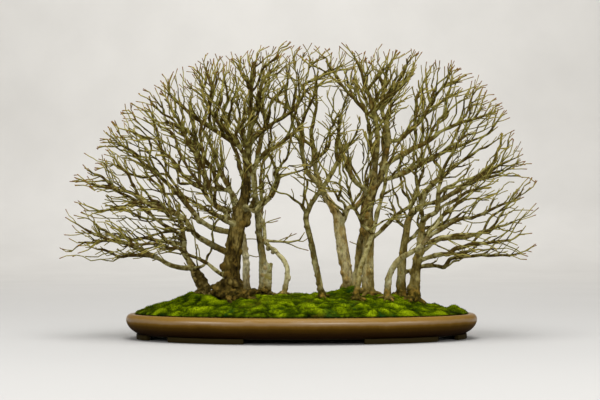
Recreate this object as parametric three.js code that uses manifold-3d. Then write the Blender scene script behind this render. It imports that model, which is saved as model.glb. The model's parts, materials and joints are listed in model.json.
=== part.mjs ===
import * as THREE from 'three';
import { mergeVertices } from 'three/addons/utils/BufferGeometryUtils.js';
import Module from 'manifold-3d';

// A group planting of twelve trident maples in a long oval tray, in winter, without leaves.
// Millimetres, +Z up. The origin is the middle of the tray, on the surface it stands on.
// +X runs along the tray, and the front is towards -Y.

// Driving dimensions of the tray
const trayHalfLength = 350;
const trayHalfWidth = 180;
const trayHeight = 50;
const trayFloorUnderside = 8;
const trayFloorTop = 15;
const lipInset = 16;
const footInset = 27;
const footWidth = 13;
const footEndWidth = 7.8;
const footSink = 2;
const longFootFrom = 110;
const longFootTo = 252;
const endFootHalfWidth = 60;
const drainHoleX = 150;
const drainHoleRadius = 11;
const screenSide = 44;
const screenThickness = 1.2;
const screenHole = 8;
const screenPitch = 12;

// The tray's wall in section, as rows of [inset from the rim, height]
const outerWall = [[30, trayFloorUnderside], [19, 13], [8, 21], [2, 30], [0, 38], [3, 46],
  [9, trayHeight]];
const innerWall = [[lipInset, trayHeight - 1], [18, 40], [24, 26], [36, trayFloorTop]];
const evenInset = 44;

// Driving dimensions of the mound. A hill is [x, y, rise, width].
const moundRise = 40;
const moundEdge = trayHeight - 1;
const hills = [[-206, 10, 7, 40], [100, 40, 6, 45], [290, 0, -9, 36]];
const mossThickness = 6;
const cushions = { rise: 2.5, spanX: 17, spanY: 14, bend: 1.3, bendX: 31, bendY: 23 };
const soilInsets = [lipInset + 3, evenInset, 110, 220, trayHalfLength];
const mossInsets = [lipInset + 3, 32, 56, 86, 122, 164, 214, 276, trayHalfLength];

// Driving dimensions of the feet of the trunks. Root sizes are shares of the trunk's radius,
// and root heights are above the ground.
const buryDepth = 24;
const buriedTaper = 0.8;
const thickTrunk = 15;
const radiusPerRoot = 4.5;
const rootLength = 2;
const rootHeel = { height: 0.55, radius: 0.4 };
const rootKnee = { share: 0.55, height: 1, radius: 0.3 };
const rootTip = { share: 1, height: -4, radius: 0.16 };

// Driving dimensions of the crown and its twigs
const crown = { x: -8, z: 190, halfWidth: 474, halfDepth: 190, height: 402 };
const rightCrown = { x: 190, z: 262, halfWidth: 280, halfDepth: 172, height: 322 };
const clearTrunkHeight = 110;
const clearTrunkReach = 270;
const lowestTwig = 148;
const heartHeight = 110;

// The clear openings between the limbs, seen from the front, as rows of
// [x, z, half length, half height, turn in degrees], and the share of targets left in them
const openings = [[-30, 352, 27, 27, 0], [-26, 276, 32, 42, 0], [50, 344, 16, 28, 0],
  [68, 466, 30, 24, 0], [110, 444, 14, 22, 0], [92, 284, 24, 28, 0], [115, 338, 18, 22, 0],
  [-26, 424, 16, 14, 0], [236, 320, 32, 20, 30], [286, 184, 38, 15, 8], [-270, 262, 38, 14, -40]];
const openingKept = 0.06;
const targetCount = 1900;
const targetReach = 150;
const targetKill = 26;
const knotSpacing = 18;
const treeClearance = 6;
const twigClearance = 7;
const twigTipRadius = 0.75;
const thinnest = 0.6;
const pipeExponent = 2.3;

// How twigs grow: rounds of growth, the share of the crown that is its thinner core, how far
// ahead a knot looks, and the pull of its own direction and of the way out of the tree
const growthRounds = 60;
const core = { scale: 0.55, kept: 0.35 };
const sideways = 0.3;
const mainPull = 0.9;
const forkPull = 0.3;
const outwardPull = 0.5;
const outwardRise = 0.55;
const mostForks = 4;
const nearby = 40;

// How twigs are made solid: taper at a knot, seat of a side twig, and how far a straight piece
// of wood may leave the line of its knots
const knotTaper = 0.94;
const seatShare = 0.45;
const slack = 1.4;
const slackOfRadius = 0.2;
const thinWood = 1.9;
const thinSlack = 3.5;
const longestPiece = 120;
const sidesFromRadius = [[12, 8], [6.5, 6], [4.5, 5], [2.8, 4], [0, 3]];

// Shared sizes
const gap = 0.35;
const roundSides = 36;

// Rows are [x, y, z, radius]. The first limb of a tree is its trunk, from the ground up. Each
// other limb starts on the wood nearest to its first row.
const treeLimbs = {
  tree_01: [
    [[-195, 10, 85, 11.5], [-199, 10, 100, 10.5], [-213, 10, 124, 9], [-218, 10, 140, 7.5],
      [-234, 20, 168, 5.4], [-241, 34, 205, 3.8], [-249, 44, 239, 2.8]],
    [[-219, 10, 132, 5.5], [-255, 0, 142, 5], [-297, -8, 164, 4.2], [-350, -16, 187, 3],
      [-412, -24, 209, 2], [-456, -28, 232, 1.3]],
    [[-215, 8, 134, 3], [-195, -6, 145, 2.6], [-189, -14, 164, 2]],
  ],
  tree_02: [
    [[-141, -30, 81, 23], [-139, -30, 101, 20], [-140, -30, 135, 18], [-137, -30, 166, 16.4],
      [-133, -30, 196, 15.6], [-126, -30, 242, 14.4], [-115, -30, 275, 10.8],
      [-111, -30, 305, 9.6], [-110, -26, 358, 7.4], [-106, -24, 390, 6], [-102, -20, 434, 4.4],
      [-104, -16, 474, 3.2], [-100, -12, 507, 2.2]],
    [[-155, -36, 117, 5], [-174, -50, 140, 4], [-204, -66, 161, 2.4]],
    [[-143, -34, 167, 7.6], [-178, -52, 187, 6.4], [-212, -64, 209, 5.2], [-228, -68, 231, 4.8],
      [-249, -70, 248, 4.2], [-291, -72, 261, 3.4], [-345, -66, 290, 2.4],
      [-400, -58, 303, 1.9], [-440, -50, 318, 1.3]],
    [[-137, -22, 204, 6.4], [-179, 0, 220, 5.6], [-217, 14, 250, 4.2], [-245, 20, 293, 3],
      [-274, 24, 333, 2.2]],
    [[-118, -26, 265, 5.6], [-134, -10, 276, 5.2], [-146, 10, 295, 4.8], [-207, 52, 305, 3.4],
      [-245, 66, 335, 2.5]],
    [[-131, -40, 224, 5.4], [-150, -58, 232, 4.9], [-150, -66, 249, 4.4], [-179, -84, 272, 3.7],
      [-217, -108, 327, 2.2]],
    [[-121, -38, 255, 5.8], [-103, -46, 259, 5.4], [-95, -52, 253, 5.2], [-63, -62, 281, 4.4],
      [-50, -66, 306, 4], [-46, -68, 319, 3.7], [-22, -72, 327, 2], [2, -78, 333, 1.4]],
    [[-47, -66, 317, 3], [-53, -76, 336, 2.3], [-65, -84, 363, 1.7]],
    [[-111, -28, 331, 4.8], [-72, -40, 367, 4], [-35, -46, 395, 3.2], [-10, -50, 413, 2.6],
      [6, -54, 443, 1.9]],
    [[-106, -24, 382, 4.6], [-84, -18, 409, 4], [-53, -14, 429, 3.3], [-15, -10, 459, 2.3],
      [2, -8, 487, 1.8]],
    [[-110, -26, 362, 5], [-130, -16, 385, 4.5], [-152, -4, 414, 3.7], [-176, 6, 445, 3],
      [-197, 14, 482, 2.2]],
    [[-130, -16, 385, 4], [-168, -24, 410, 3.4], [-215, -34, 442, 2.7], [-258, -40, 480, 2]],
    [[-225, 16, 268, 3.6], [-275, 4, 315, 3], [-322, -6, 356, 2.5], [-366, -10, 390, 1.8]],
    [[-112, -24, 299, 5], [-118, 14, 321, 4.3], [-125, 44, 348, 3.6], [-138, 72, 385, 2.8],
      [-155, 92, 424, 2]],
  ],
  tree_03: [
    [[-112, 56, 85, 9], [-113, 56, 118, 7.8], [-113, 56, 145, 7.2], [-116, 58, 174, 6.6],
      [-121, 64, 212, 6], [-145, 94, 291, 4.6], [-164, 108, 333, 3.8], [-198, 124, 418, 2.1]],
    [[-128, 76, 245, 4.4], [-116, 96, 287, 3.7], [-108, 120, 330, 3], [-106, 136, 377, 2.2]],
    [[-123, 66, 220, 3.8], [-155, 86, 241, 3.2], [-189, 104, 254, 2.6], [-227, 116, 279, 2]],
  ],
  tree_04: [
    [[-74, 14, 89, 12], [-74, 14, 107, 9.5], [-75, 14, 136, 8], [-84, 14, 196, 7],
      [-90, 16, 256, 6.3], [-96, 20, 317, 5.2], [-92, 22, 347, 4.7], [-84, 24, 386, 3.9],
      [-76, 26, 430, 3.1], [-78, 28, 475, 2.3]],
    [[-73, 12, 107, 6], [-65, 8, 130, 4.6], [-62, 6, 148, 3.6]],
    [[-92, 24, 337, 3.8], [-111, 52, 375, 3.1], [-124, 68, 418, 2.4], [-128, 80, 460, 1.8]],
  ],
  tree_05: [
    [[-38, -10, 78, 5.6], [-30, -10, 117, 4.8], [-32, -6, 142, 4.4], [-37, 2, 155, 4.2],
      [-50, 22, 170, 4], [-63, 44, 178, 3.8], [-76, 66, 196, 3.6], [-80, 82, 229, 3.3],
      [-83, 94, 270, 2.9], [-82, 104, 316, 2.4], [-78, 112, 363, 1.9]],
    [[-74, 64, 190, 2.6], [-55, 58, 192, 2.3], [-26, 44, 189, 1.9], [-3, 34, 196, 1.5]],
  ],
  tree_06: [
    [[39, -60, 79, 7], [34, -60, 107, 6.2], [26, -60, 143, 6], [18, -60, 183, 5.8],
      [6, -60, 236, 5.5], [10, -60, 254, 5.3], [22, -60, 275, 5], [37, -60, 294, 5],
      [49, -60, 316, 4.8], [59, -60, 333, 4.6], [69, -60, 351, 4.2], [91, -60, 382, 2.6],
      [104, -60, 392, 1.8]],
    [[7, -62, 245, 3.8], [-2, -68, 262, 3], [-9, -72, 268, 2.2]],
    [[69, -62, 352, 3.2], [64, -74, 377, 2.5], [68, -88, 414, 1.8]],
  ],
  tree_07: [
    [[100, 90, 90, 11.5], [98, 90, 113, 9.8], [87, 90, 181, 8.7], [83, 92, 217, 8.1],
      [72, 95, 255, 7.1], [49, 100, 291, 5.6], [37, 100, 323, 5], [27, 96, 362, 4.3],
      [23, 92, 403, 3.6], [27, 86, 452, 2.8], [33, 80, 497, 2]],
    [[83, 90, 216, 4.4], [95, 80, 258, 3.6], [114, 84, 266, 3.2], [131, 96, 295, 2.7],
      [145, 108, 337, 2]],
    [[28, 96, 360, 3], [54, 106, 386, 2.5], [63, 112, 412, 2.1], [83, 118, 434, 1.7]],
    [[50, 98, 291, 5.2], [39, 82, 307, 5], [26, 76, 321, 4.9], [11, 70, 338, 4.7],
      [4, 66, 364, 4.9], [1, 62, 390, 4.4], [3, 60, 407, 3.8], [0, 58, 425, 3.2],
      [-9, 56, 446, 2.4]],
    [[71, 100, 254, 4.2], [48, 126, 292, 3.5], [34, 144, 332, 2.8], [32, 156, 378, 2]],
  ],
  tree_08: [
    [[133, 16, 83, 15.5], [133, 16, 103, 13], [133, 16, 136, 11.8], [134, 12, 196, 11.5],
      [130, 8, 226, 13.4], [133, 6, 276, 12.8], [149, 6, 308, 9.6], [159, 8, 324, 7.6],
      [169, 12, 369, 6.6], [175, 14, 407, 5.8], [168, 16, 436, 5], [162, 16, 456, 4.5],
      [166, 18, 492, 3.5], [174, 20, 539, 2.3]],
    [[134, 2, 280, 7.4], [143, -2, 316, 7], [147, -8, 356, 6.1], [151, -14, 395, 5.3],
      [147, -20, 438, 4.6], [130, -24, 491, 3.1], [118, -26, 525, 2.3]],
    [[145, -22, 442, 3.6], [116, -28, 462, 3.2], [101, -32, 477, 2.8], [76, -36, 508, 2]],
    [[132, 0, 282, 5.4], [121, -12, 302, 5], [101, -22, 318, 4.5], [84, -32, 358, 3.5],
      [72, -36, 393, 2.7], [68, -38, 433, 2]],
    [[174, 16, 393, 4.9], [195, 20, 400, 4.4], [211, 24, 415, 4], [240, 28, 441, 3.4],
      [254, 30, 462, 2.9], [270, 32, 496, 2.1]],
    [[165, 6, 344, 5.2], [197, -10, 365, 4.4], [249, -28, 390, 3.4], [291, -38, 419, 2.7],
      [368, -48, 447, 1.7]],
    [[157, 12, 315, 5], [212, 36, 333, 4], [274, 52, 365, 3.1], [350, 62, 398, 2.1],
      [394, 64, 420, 1.6]],
    [[132, 0, 200, 4.4], [154, -14, 210, 3.8], [182, -38, 241, 2.9], [206, -46, 260, 2.3],
      [228, -44, 290, 1.8]],
    [[169, 14, 365, 4.6], [168, 44, 395, 3.9], [175, 70, 434, 3.1], [189, 88, 477, 2.2]],
    [[147, -14, 355, 4.2], [137, -44, 377, 3.6], [131, -68, 410, 2.9], [122, -84, 448, 2]],
  ],
  tree_09: [
    [[102, -76, 76, 7.4], [107, -76, 111, 6.2], [113, -73, 143, 5.7], [130, -64, 193, 4.8],
      [139, -62, 224, 4.3], [150, -68, 259, 3.7], [157, -80, 293, 3.1], [163, -94, 331, 2.5],
      [176, -104, 369, 1.9]],
    [[133, -66, 204, 3], [114, -82, 231, 2.6], [97, -98, 262, 2.2], [83, -110, 300, 1.7]],
  ],
  tree_10: [
    [[167, -50, 80, 6.2], [169, -50, 121, 5.2], [179, -54, 142, 4.8], [195, -62, 161, 4.4],
      [232, -86, 187, 3.4], [246, -96, 212, 2.8], [266, -106, 239, 2.3], [292, -112, 265, 1.8]],
    [[235, -88, 191, 2.6], [264, -102, 200, 2.2], [299, -112, 208, 1.8]],
  ],
  tree_11: [
    [[202, 36, 80, 12], [202, 36, 103, 10], [203, 36, 129, 9.2], [207, 36, 173, 8.2],
      [219, 42, 239, 7], [228, 45, 254, 6.3], [249, 50, 272, 5.5], [256, 53, 294, 4.9],
      [280, 62, 319, 4.1], [307, 60, 338, 3.2], [349, 58, 372, 2.4], [387, 56, 391, 1.6]],
    [[281, 64, 320, 3.4], [288, 78, 342, 3], [271, 92, 369, 2.4], [262, 98, 404, 1.8]],
    [[206, 36, 125, 4.6], [233, 42, 137, 4.2], [260, 46, 144, 3.8], [290, 40, 143, 3.5],
      [301, 36, 155, 3.2], [324, 32, 162, 2.8], [378, 26, 166, 2.2], [432, 20, 168, 1.6]],
    [[233, 45, 259, 4.8], [255, 38, 269, 4.4], [280, 30, 273, 4], [319, 22, 297, 3.4],
      [359, 16, 321, 2.8], [398, 12, 347, 2]],
    [[217, 44, 228, 4.2], [228, 72, 266, 3.6], [243, 96, 304, 2.9], [258, 112, 346, 2.2]],
    [[209, 42, 196, 3.6], [241, 72, 212, 3.1], [281, 96, 225, 2.6], [325, 112, 242, 2]],
  ],
  tree_12: [
    [[222, -22, 83, 13.5], [223, -22, 101, 11.5], [224, -22, 119, 10.4], [229, -20, 152, 9.2],
      [235, -18, 184, 8.4], [238, -18, 217, 7.1], [240, -20, 232, 6.4], [251, -26, 244, 5],
      [265, -34, 253, 4.3], [266, -42, 285, 3.6], [274, -48, 322, 2.9], [289, -54, 361, 2.1]],
    [[232, -20, 148, 4.8], [260, -34, 165, 4.2], [289, -44, 172, 3.7], [301, -50, 181, 3.4],
      [331, -58, 187, 2.9], [365, -64, 190, 2.3], [411, -70, 198, 1.6]],
    [[235, -10, 170, 4.8], [253, -4, 184, 4.4], [276, 0, 195, 4], [348, 6, 206, 3],
      [375, 8, 215, 2.6], [426, 10, 232, 1.7]],
    [[237, -10, 196, 4.6], [254, 2, 204, 4.2], [323, 28, 239, 3.2], [358, 38, 245, 2.7],
      [396, 46, 261, 2.2], [438, 52, 277, 1.6]],
    [[237, -26, 228, 4.2], [234, -46, 254, 3.6], [225, -68, 290, 2.9], [216, -84, 328, 2.1]],
    [[235, -24, 192, 3.8], [252, -60, 220, 3.2], [276, -90, 247, 2.5], [304, -108, 273, 1.9]],
  ],
};

// The second stem of the twin trunk stands on its own roots and joins the first one higher up.
const twinStem = {
  tree: 'tree_08',
  rows: [[108, 46, 94, 10.5], [111, 46, 114, 9], [115, 43, 139, 8.2], [118, 36, 176, 7.8],
    [122, 24, 204, 7.4], [130, 10, 232, 7]],
};

const barkColours = {
  tree_01: 0x8d8270, tree_02: 0x6f5a45, tree_03: 0x857a66, tree_04: 0x8b8470,
  tree_05: 0x7b7461, tree_06: 0x8e8a74, tree_07: 0x7c715e, tree_08: 0x8a8069,
  tree_09: 0x7d7662, tree_10: 0x857c68, tree_11: 0x877d69, tree_12: 0x80765f,
};

const wasm = await Module();
wasm.setup();

// Repeatable random numbers from 0 to 1.
function seededRandom(seed) {
  let state = seed;
  return () => {
    state = (state * 16807) % 2147483647;
    return state / 2147483647;
  };
}

// Closed geometry to solid, and back to a mesh of the part.
function toSolid(geometry) {
  geometry.deleteAttribute('normal');
  geometry.deleteAttribute('uv');
  const merged = mergeVertices(geometry, 1e-4);
  return new wasm.Manifold(new wasm.Mesh({
    numProp: 3,
    vertProperties: new Float32Array(merged.attributes.position.array),
    triVerts: new Uint32Array(merged.index.array),
  }));
}

function toMesh(name, solid, colour, roughness) {
  const { vertProperties, triVerts } = solid.getMesh();
  const geometry = new THREE.BufferGeometry();
  geometry.setAttribute('position', new THREE.BufferAttribute(vertProperties, 3));
  geometry.setIndex(new THREE.BufferAttribute(triVerts, 1));
  geometry.computeVertexNormals();
  const material = new THREE.MeshStandardMaterial({ color: colour, roughness, metalness: 0 });
  const mesh = new THREE.Mesh(geometry, material);
  mesh.name = name;
  return mesh;
}

// A point of the oval. The inset is measured square to the rim, so a wall is equally thick all
// the way round. Further in than the wall's own curves, the rings shrink evenly to the middle.
function ovalPoint(angle, inset) {
  const cos = Math.cos(angle);
  const sin = Math.sin(angle);
  const normalX = trayHalfWidth * cos;
  const normalY = trayHalfLength * sin;
  const normalLength = Math.hypot(normalX, normalY);
  const wallInset = Math.min(inset, evenInset);
  const x = trayHalfLength * cos - wallInset * normalX / normalLength;
  const y = trayHalfWidth * sin - wallInset * normalY / normalLength;
  const shrink = (trayHalfLength - inset) / (trayHalfLength - wallInset);
  return [x * shrink, y * shrink];
}

// An oval body from profile rows [inset, height]. A row's height may also be a function of
// [x, y]. The profile starts and ends on the axis, where the inset is trayHalfLength.
function ovalBody(profile) {
  const outline = profile.map(([inset], row) => new THREE.Vector2(trayHalfLength - inset, row));
  const geometry = new THREE.LatheGeometry(outline, roundSides);
  geometry.rotateX(Math.PI / 2);
  const position = geometry.attributes.position;
  for (let i = 0; i < position.count; i += 1) {
    const [inset, height] = profile[Math.round(position.getZ(i))];
    const angle = Math.atan2(position.getY(i), position.getX(i));
    const [x, y] = ovalPoint(angle, inset);
    const z = typeof height === 'function' ? height(x, y) : height;
    position.setXYZ(i, x, y, z);
  }
  return toSolid(geometry);
}

// 1 in the middle of the oval inside the lip, falling to 0 at the lip.
function insideLip(x, y) {
  const along = x / (trayHalfLength - lipInset);
  const across = y / (trayHalfWidth - lipInset);
  return Math.max(0, 1 - along * along - across * across);
}

// The mound: highest along the middle, with low hills under the heavy trunks.
function groundHeight(x, y) {
  const inside = insideLip(x, y);
  let height = 0;
  for (const [middleX, middleY, rise, width] of hills) {
    const dx = x - middleX;
    const dy = y - middleY;
    height += rise * Math.exp(-(dx * dx + dy * dy) / (2 * width * width));
  }
  return moundEdge + moundRise * Math.sqrt(inside) + height * Math.min(1, 4 * inside);
}

// Moss cushions: low waves that cross each other, fading out at the rim.
function mossHeight(x, y) {
  const { rise, spanX, spanY, bend, bendX, bendY } = cushions;
  const waves = Math.sin(x / spanX + bend * Math.sin(y / bendY))
    * Math.cos(y / spanY + Math.sin(x / bendX));
  return groundHeight(x, y) + rise * waves * Math.min(1, 6 * insideLip(x, y));
}

function soilHeight(x, y) {
  return groundHeight(x, y) - mossThickness;
}

// Tray with feet and drain holes
function longFoot(sideX, sideY) {
  const steps = 4;
  const reach = trayHalfLength - footInset;
  const from = Math.acos(longFootFrom / reach);
  const to = Math.acos(longFootTo / reach);
  return footBlock(steps, (share) => {
    const angle = from + (to - from) * share;
    return [sideX, sideY, angle];
  });
}

function endFoot(sideX) {
  const steps = 3;
  const reach = Math.asin(endFootHalfWidth / (trayHalfWidth - footInset));
  return footBlock(steps, (share) => [sideX, 1, reach * (2 * share - 1)]);
}

function footBlock(steps, place) {
  const outer = [];
  const inner = [];
  for (let step = 0; step <= steps; step += 1) {
    const [sideX, sideY, angle] = place(step / steps);
    const isEnd = step === 0 || step === steps;
    const width = isEnd ? footEndWidth : footWidth;
    const [outerX, outerY] = ovalPoint(angle, footInset - width / 2);
    const [innerX, innerY] = ovalPoint(angle, footInset + width / 2);
    outer.push(new THREE.Vector2(outerX * sideX, outerY * sideY));
    inner.unshift(new THREE.Vector2(innerX * sideX, innerY * sideY));
  }
  const shape = new THREE.Shape([...outer, ...inner]);
  const depth = trayFloorUnderside + footSink;
  return toSolid(new THREE.ExtrudeGeometry(shape, { depth, bevelEnabled: false }));
}

function makeTray() {
  let tray = ovalBody([[trayHalfLength, trayFloorUnderside], ...outerWall, ...innerWall,
    [trayHalfLength, trayFloorTop]]);
  for (const sideX of [-1, 1]) {
    tray = tray.add(endFoot(sideX));
    for (const sideY of [-1, 1]) {
      tray = tray.add(longFoot(sideX, sideY));
    }
    const drain = new THREE.CylinderGeometry(drainHoleRadius, drainHoleRadius, trayHeight, 16);
    drain.rotateX(Math.PI / 2);
    drain.translate(sideX * drainHoleX, 0, trayFloorTop);
    tray = tray.subtract(toSolid(drain));
  }
  return toMesh('tray', tray, 0x5d5434, 0.3);
}

// Drain screens
function makeScreen(name, middleX) {
  const middleZ = trayFloorTop + gap + screenThickness / 2;
  const plate = new THREE.BoxGeometry(screenSide, screenSide, screenThickness);
  plate.translate(middleX, 0, middleZ);
  let screen = toSolid(plate);
  for (const column of [-1, 0, 1]) {
    for (const row of [-1, 0, 1]) {
      const hole = new THREE.BoxGeometry(screenHole, screenHole, 3 * screenThickness);
      hole.translate(middleX + column * screenPitch, row * screenPitch, middleZ);
      screen = screen.subtract(toSolid(hole));
    }
  }
  return toMesh(name, screen, 0x1d1d1b, 0.6);
}

// Tubes of wood: a cylinder whose rings are moved on to the points of a path.
function woodTube(path, sides, isPointed) {
  const segments = path.length - 1;
  const geometry = new THREE.CylinderGeometry(isPointed ? 0 : 1, 1, 1, sides, segments);
  const rings = path.map(([x, y, z, radius], k) => {
    const before = path[Math.max(0, k - 1)];
    const after = path[Math.min(segments, k + 1)];
    const along = new THREE.Vector3(after[0] - before[0], after[1] - before[1],
      after[2] - before[2]).normalize();
    return { middle: new THREE.Vector3(x, y, z), radius, along };
  });
  const start = rings[0].along;
  const aside = Math.abs(start.x) < 0.6 ? new THREE.Vector3(1, 0, 0) : new THREE.Vector3(0, 1, 0);
  for (const ring of rings) {
    aside.addScaledVector(ring.along, -aside.dot(ring.along)).normalize();
    ring.aside = aside.clone();
    ring.across = aside.clone().cross(ring.along);
  }
  const position = geometry.attributes.position;
  const point = new THREE.Vector3();
  for (let i = 0; i < position.count; i += 1) {
    const ring = rings[Math.round((position.getY(i) + 0.5) * segments)];
    const x = position.getX(i);
    const z = position.getZ(i);
    const length = Math.hypot(x, z);
    const scale = length > 1e-6 ? ring.radius / length : 0;
    point.copy(ring.middle);
    point.addScaledVector(ring.aside, x * scale);
    point.addScaledVector(ring.across, z * scale);
    position.setXYZ(i, point.x, point.y, point.z);
  }
  return toSolid(geometry);
}

function woodSides(radius) {
  const [, sides] = sidesFromRadius.find(([least]) => radius >= least);
  return sides;
}

// A trunk goes on below the ground as a buried foot. The part of its path near the ground,
// made wider by the gap, cuts its plain hole in the moss and the soil.
const trunkPaths = [];

function withFoot(rows) {
  const [x, y, z, radius] = rows[0];
  const path = [[x, y, z - buryDepth, buriedTaper * radius], ...rows];
  trunkPaths.push(path);
  return path;
}

function trunkHole(path) {
  const extra = 2 * gap;
  const last = path.findIndex((row) => row[2] > path[1][2] + buryDepth);
  const wide = path.slice(0, last + 1).map(([x, y, z, radius]) => [x, y, z, radius + extra]);
  wide[0][2] -= extra;
  return woodTube(wide, woodSides(path[1][3]), false);
}

function surfaceRoots(rows, extra, seed) {
  const [x, y, , radius] = rows[0];
  if (radius < thickTrunk) return [];
  const random = seededRandom(seed);
  const count = Math.round(1 + radius / radiusPerRoot);
  const turn = random() * Math.PI * 2;
  const roots = [];
  for (let k = 0; k < count; k += 1) {
    const angle = turn + (k + 0.5 * random()) * Math.PI * 2 / count;
    const length = radius * (rootLength + random());
    const rootRow = (place, longer) => {
      const reach = length * place.share + longer;
      const rootX = x + Math.cos(angle) * reach;
      const rootY = y + Math.sin(angle) * reach;
      const rootZ = groundHeight(rootX, rootY) + place.height;
      return [rootX, rootY, rootZ, place.radius * radius + extra];
    };
    const heelZ = groundHeight(x, y) + rootHeel.height * radius;
    const heel = [x, y, heelZ, rootHeel.radius * radius + extra];
    roots.push(woodTube([heel, rootRow(rootKnee, 0), rootRow(rootTip, extra)], 4, false));
  }
  return roots;
}

// The skeleton of all the wood: knots, each with its parent knot. Hand-laid limbs come first.
const knots = [];

function addKnot(tree, parent, point, laidRadius) {
  const knot = { tree, parent, x: point[0], y: point[1], z: point[2], laidRadius, children: [] };
  knots.push(knot);
  if (parent) parent.children.push(knot);
  return knot;
}

function nearestKnot(tree, point) {
  let best = null;
  let bestSquare = Infinity;
  for (const knot of knots) {
    const dx = knot.x - point[0];
    const dy = knot.y - point[1];
    const dz = knot.z - point[2];
    const square = dx * dx + dy * dy + dz * dz;
    if (knot.tree === tree && square < bestSquare) {
      best = knot;
      bestSquare = square;
    }
  }
  return best;
}

// One span of a smooth line through four neighbouring rows.
function smoothRow(before, from, to, after, share) {
  return from.map((value, axis) => {
    const leave = 0.5 * (to[axis] - before[axis]);
    const arrive = 0.5 * (after[axis] - value);
    const rise = to[axis] - value;
    const square = 3 * rise - 2 * leave - arrive;
    const cube = leave + arrive - 2 * rise;
    return value + share * (leave + share * (square + share * cube));
  });
}

function layLimb(tree, rows, isTrunk) {
  let parent = null;
  let points = rows;
  if (!isTrunk) {
    parent = nearestKnot(tree, rows[0]);
    points = [[parent.x, parent.y, parent.z, rows[0][3]], ...rows.slice(1)];
  } else {
    parent = addKnot(tree, null, rows[0], rows[0][3]);
  }
  for (let k = 0; k + 1 < points.length; k += 1) {
    const from = points[k];
    const to = points[k + 1];
    const before = points[Math.max(0, k - 1)];
    const after = points[Math.min(points.length - 1, k + 2)];
    const dx = to[0] - from[0];
    const dy = to[1] - from[1];
    const dz = to[2] - from[2];
    const steps = Math.ceil(Math.sqrt(dx * dx + dy * dy + dz * dz) / knotSpacing);
    for (let step = 1; step <= steps; step += 1) {
      const row = smoothRow(before, from, to, after, step / steps);
      parent = addKnot(tree, parent, row, row[3]);
    }
  }
}

// Targets that the twigs grow to, spread through the crown and thicker towards its outside.
function inCrown(x, y, z, dome, scale) {
  const dx = (x - dome.x) / (dome.halfWidth * scale);
  const dy = y / (dome.halfDepth * scale);
  const dz = (z - dome.z) / (dome.height * scale);
  return dx * dx + dy * dy + dz * dz <= 1;
}

function inOpening(x, z) {
  return openings.some(([middleX, middleZ, halfLength, halfHeight, turn]) => {
    const angle = turn * Math.PI / 180;
    const dx = x - middleX;
    const dz = z - middleZ;
    const along = (dx * Math.cos(angle) + dz * Math.sin(angle)) / halfLength;
    const across = (dz * Math.cos(angle) - dx * Math.sin(angle)) / halfHeight;
    return along * along + across * across < 1;
  });
}

function lowestAt(x) {
  const share = x / clearTrunkReach;
  return lowestTwig + clearTrunkHeight * Math.max(0, 1 - share * share);
}

function scatterTargets(count, seed) {
  const random = seededRandom(seed);
  const targets = [];
  while (targets.length < count) {
    const x = crown.x + crown.halfWidth * (2 * random() - 1);
    const y = crown.halfDepth * (2 * random() - 1);
    const z = lowestTwig + (crown.z + crown.height - lowestTwig) * random();
    const keep = random();
    const inside = inCrown(x, y, z, crown, 1) || inCrown(x, y, z, rightCrown, 1);
    const coreKept = inCrown(x, y, z, crown, core.scale) ? core.kept : 1;
    const kept = inOpening(x, z) ? openingKept : coreKept;
    if (inside && z > lowestAt(x) && keep < kept) {
      targets.push({ x, y, z, near: null, square: targetReach * targetReach });
    }
  }
  return targets;
}

// How close a point comes to the wood between a knot and its parent.
function woodDistance(point, knot) {
  const from = knot.parent || knot;
  const ax = knot.x - from.x;
  const ay = knot.y - from.y;
  const az = knot.z - from.z;
  const px = point[0] - from.x;
  const py = point[1] - from.y;
  const pz = point[2] - from.z;
  const length = ax * ax + ay * ay + az * az;
  const share = length > 0 ? Math.min(1, Math.max(0, (px * ax + py * ay + pz * az) / length)) : 0;
  const dx = px - share * ax;
  const dy = py - share * ay;
  const dz = pz - share * az;
  return Math.sqrt(dx * dx + dy * dy + dz * dz) - (knot.laidRadius || 0);
}

// A new piece of twig may not come close to another tree, nor run along its own tree's wood.
function isClear(parent, point) {
  for (const knot of knots) {
    const isFar = Math.abs(knot.x - point[0]) > nearby || Math.abs(knot.z - point[2]) > nearby;
    if (isFar || Math.abs(knot.y - point[1]) > nearby) continue;
    if (knot.tree !== parent.tree) {
      const middle = [(parent.x + point[0]) / 2, (parent.y + point[1]) / 2,
        (parent.z + point[2]) / 2];
      const distance = Math.min(woodDistance(point, knot), woodDistance(middle, knot));
      if (distance < treeClearance) return false;
    } else if (knot !== parent && knot !== parent.parent) {
      if (woodDistance(point, knot) < twigClearance) return false;
    }
  }
  return true;
}

// The way out of a tree: away from its heart, low on its trunk, and up at about half that slope.
function outward(knot) {
  const [heartX, heartY] = treeLimbs[knot.tree][0][0];
  return unit([knot.x - heartX, knot.y - heartY, outwardRise * (knot.z - heartHeight)]);
}

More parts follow.
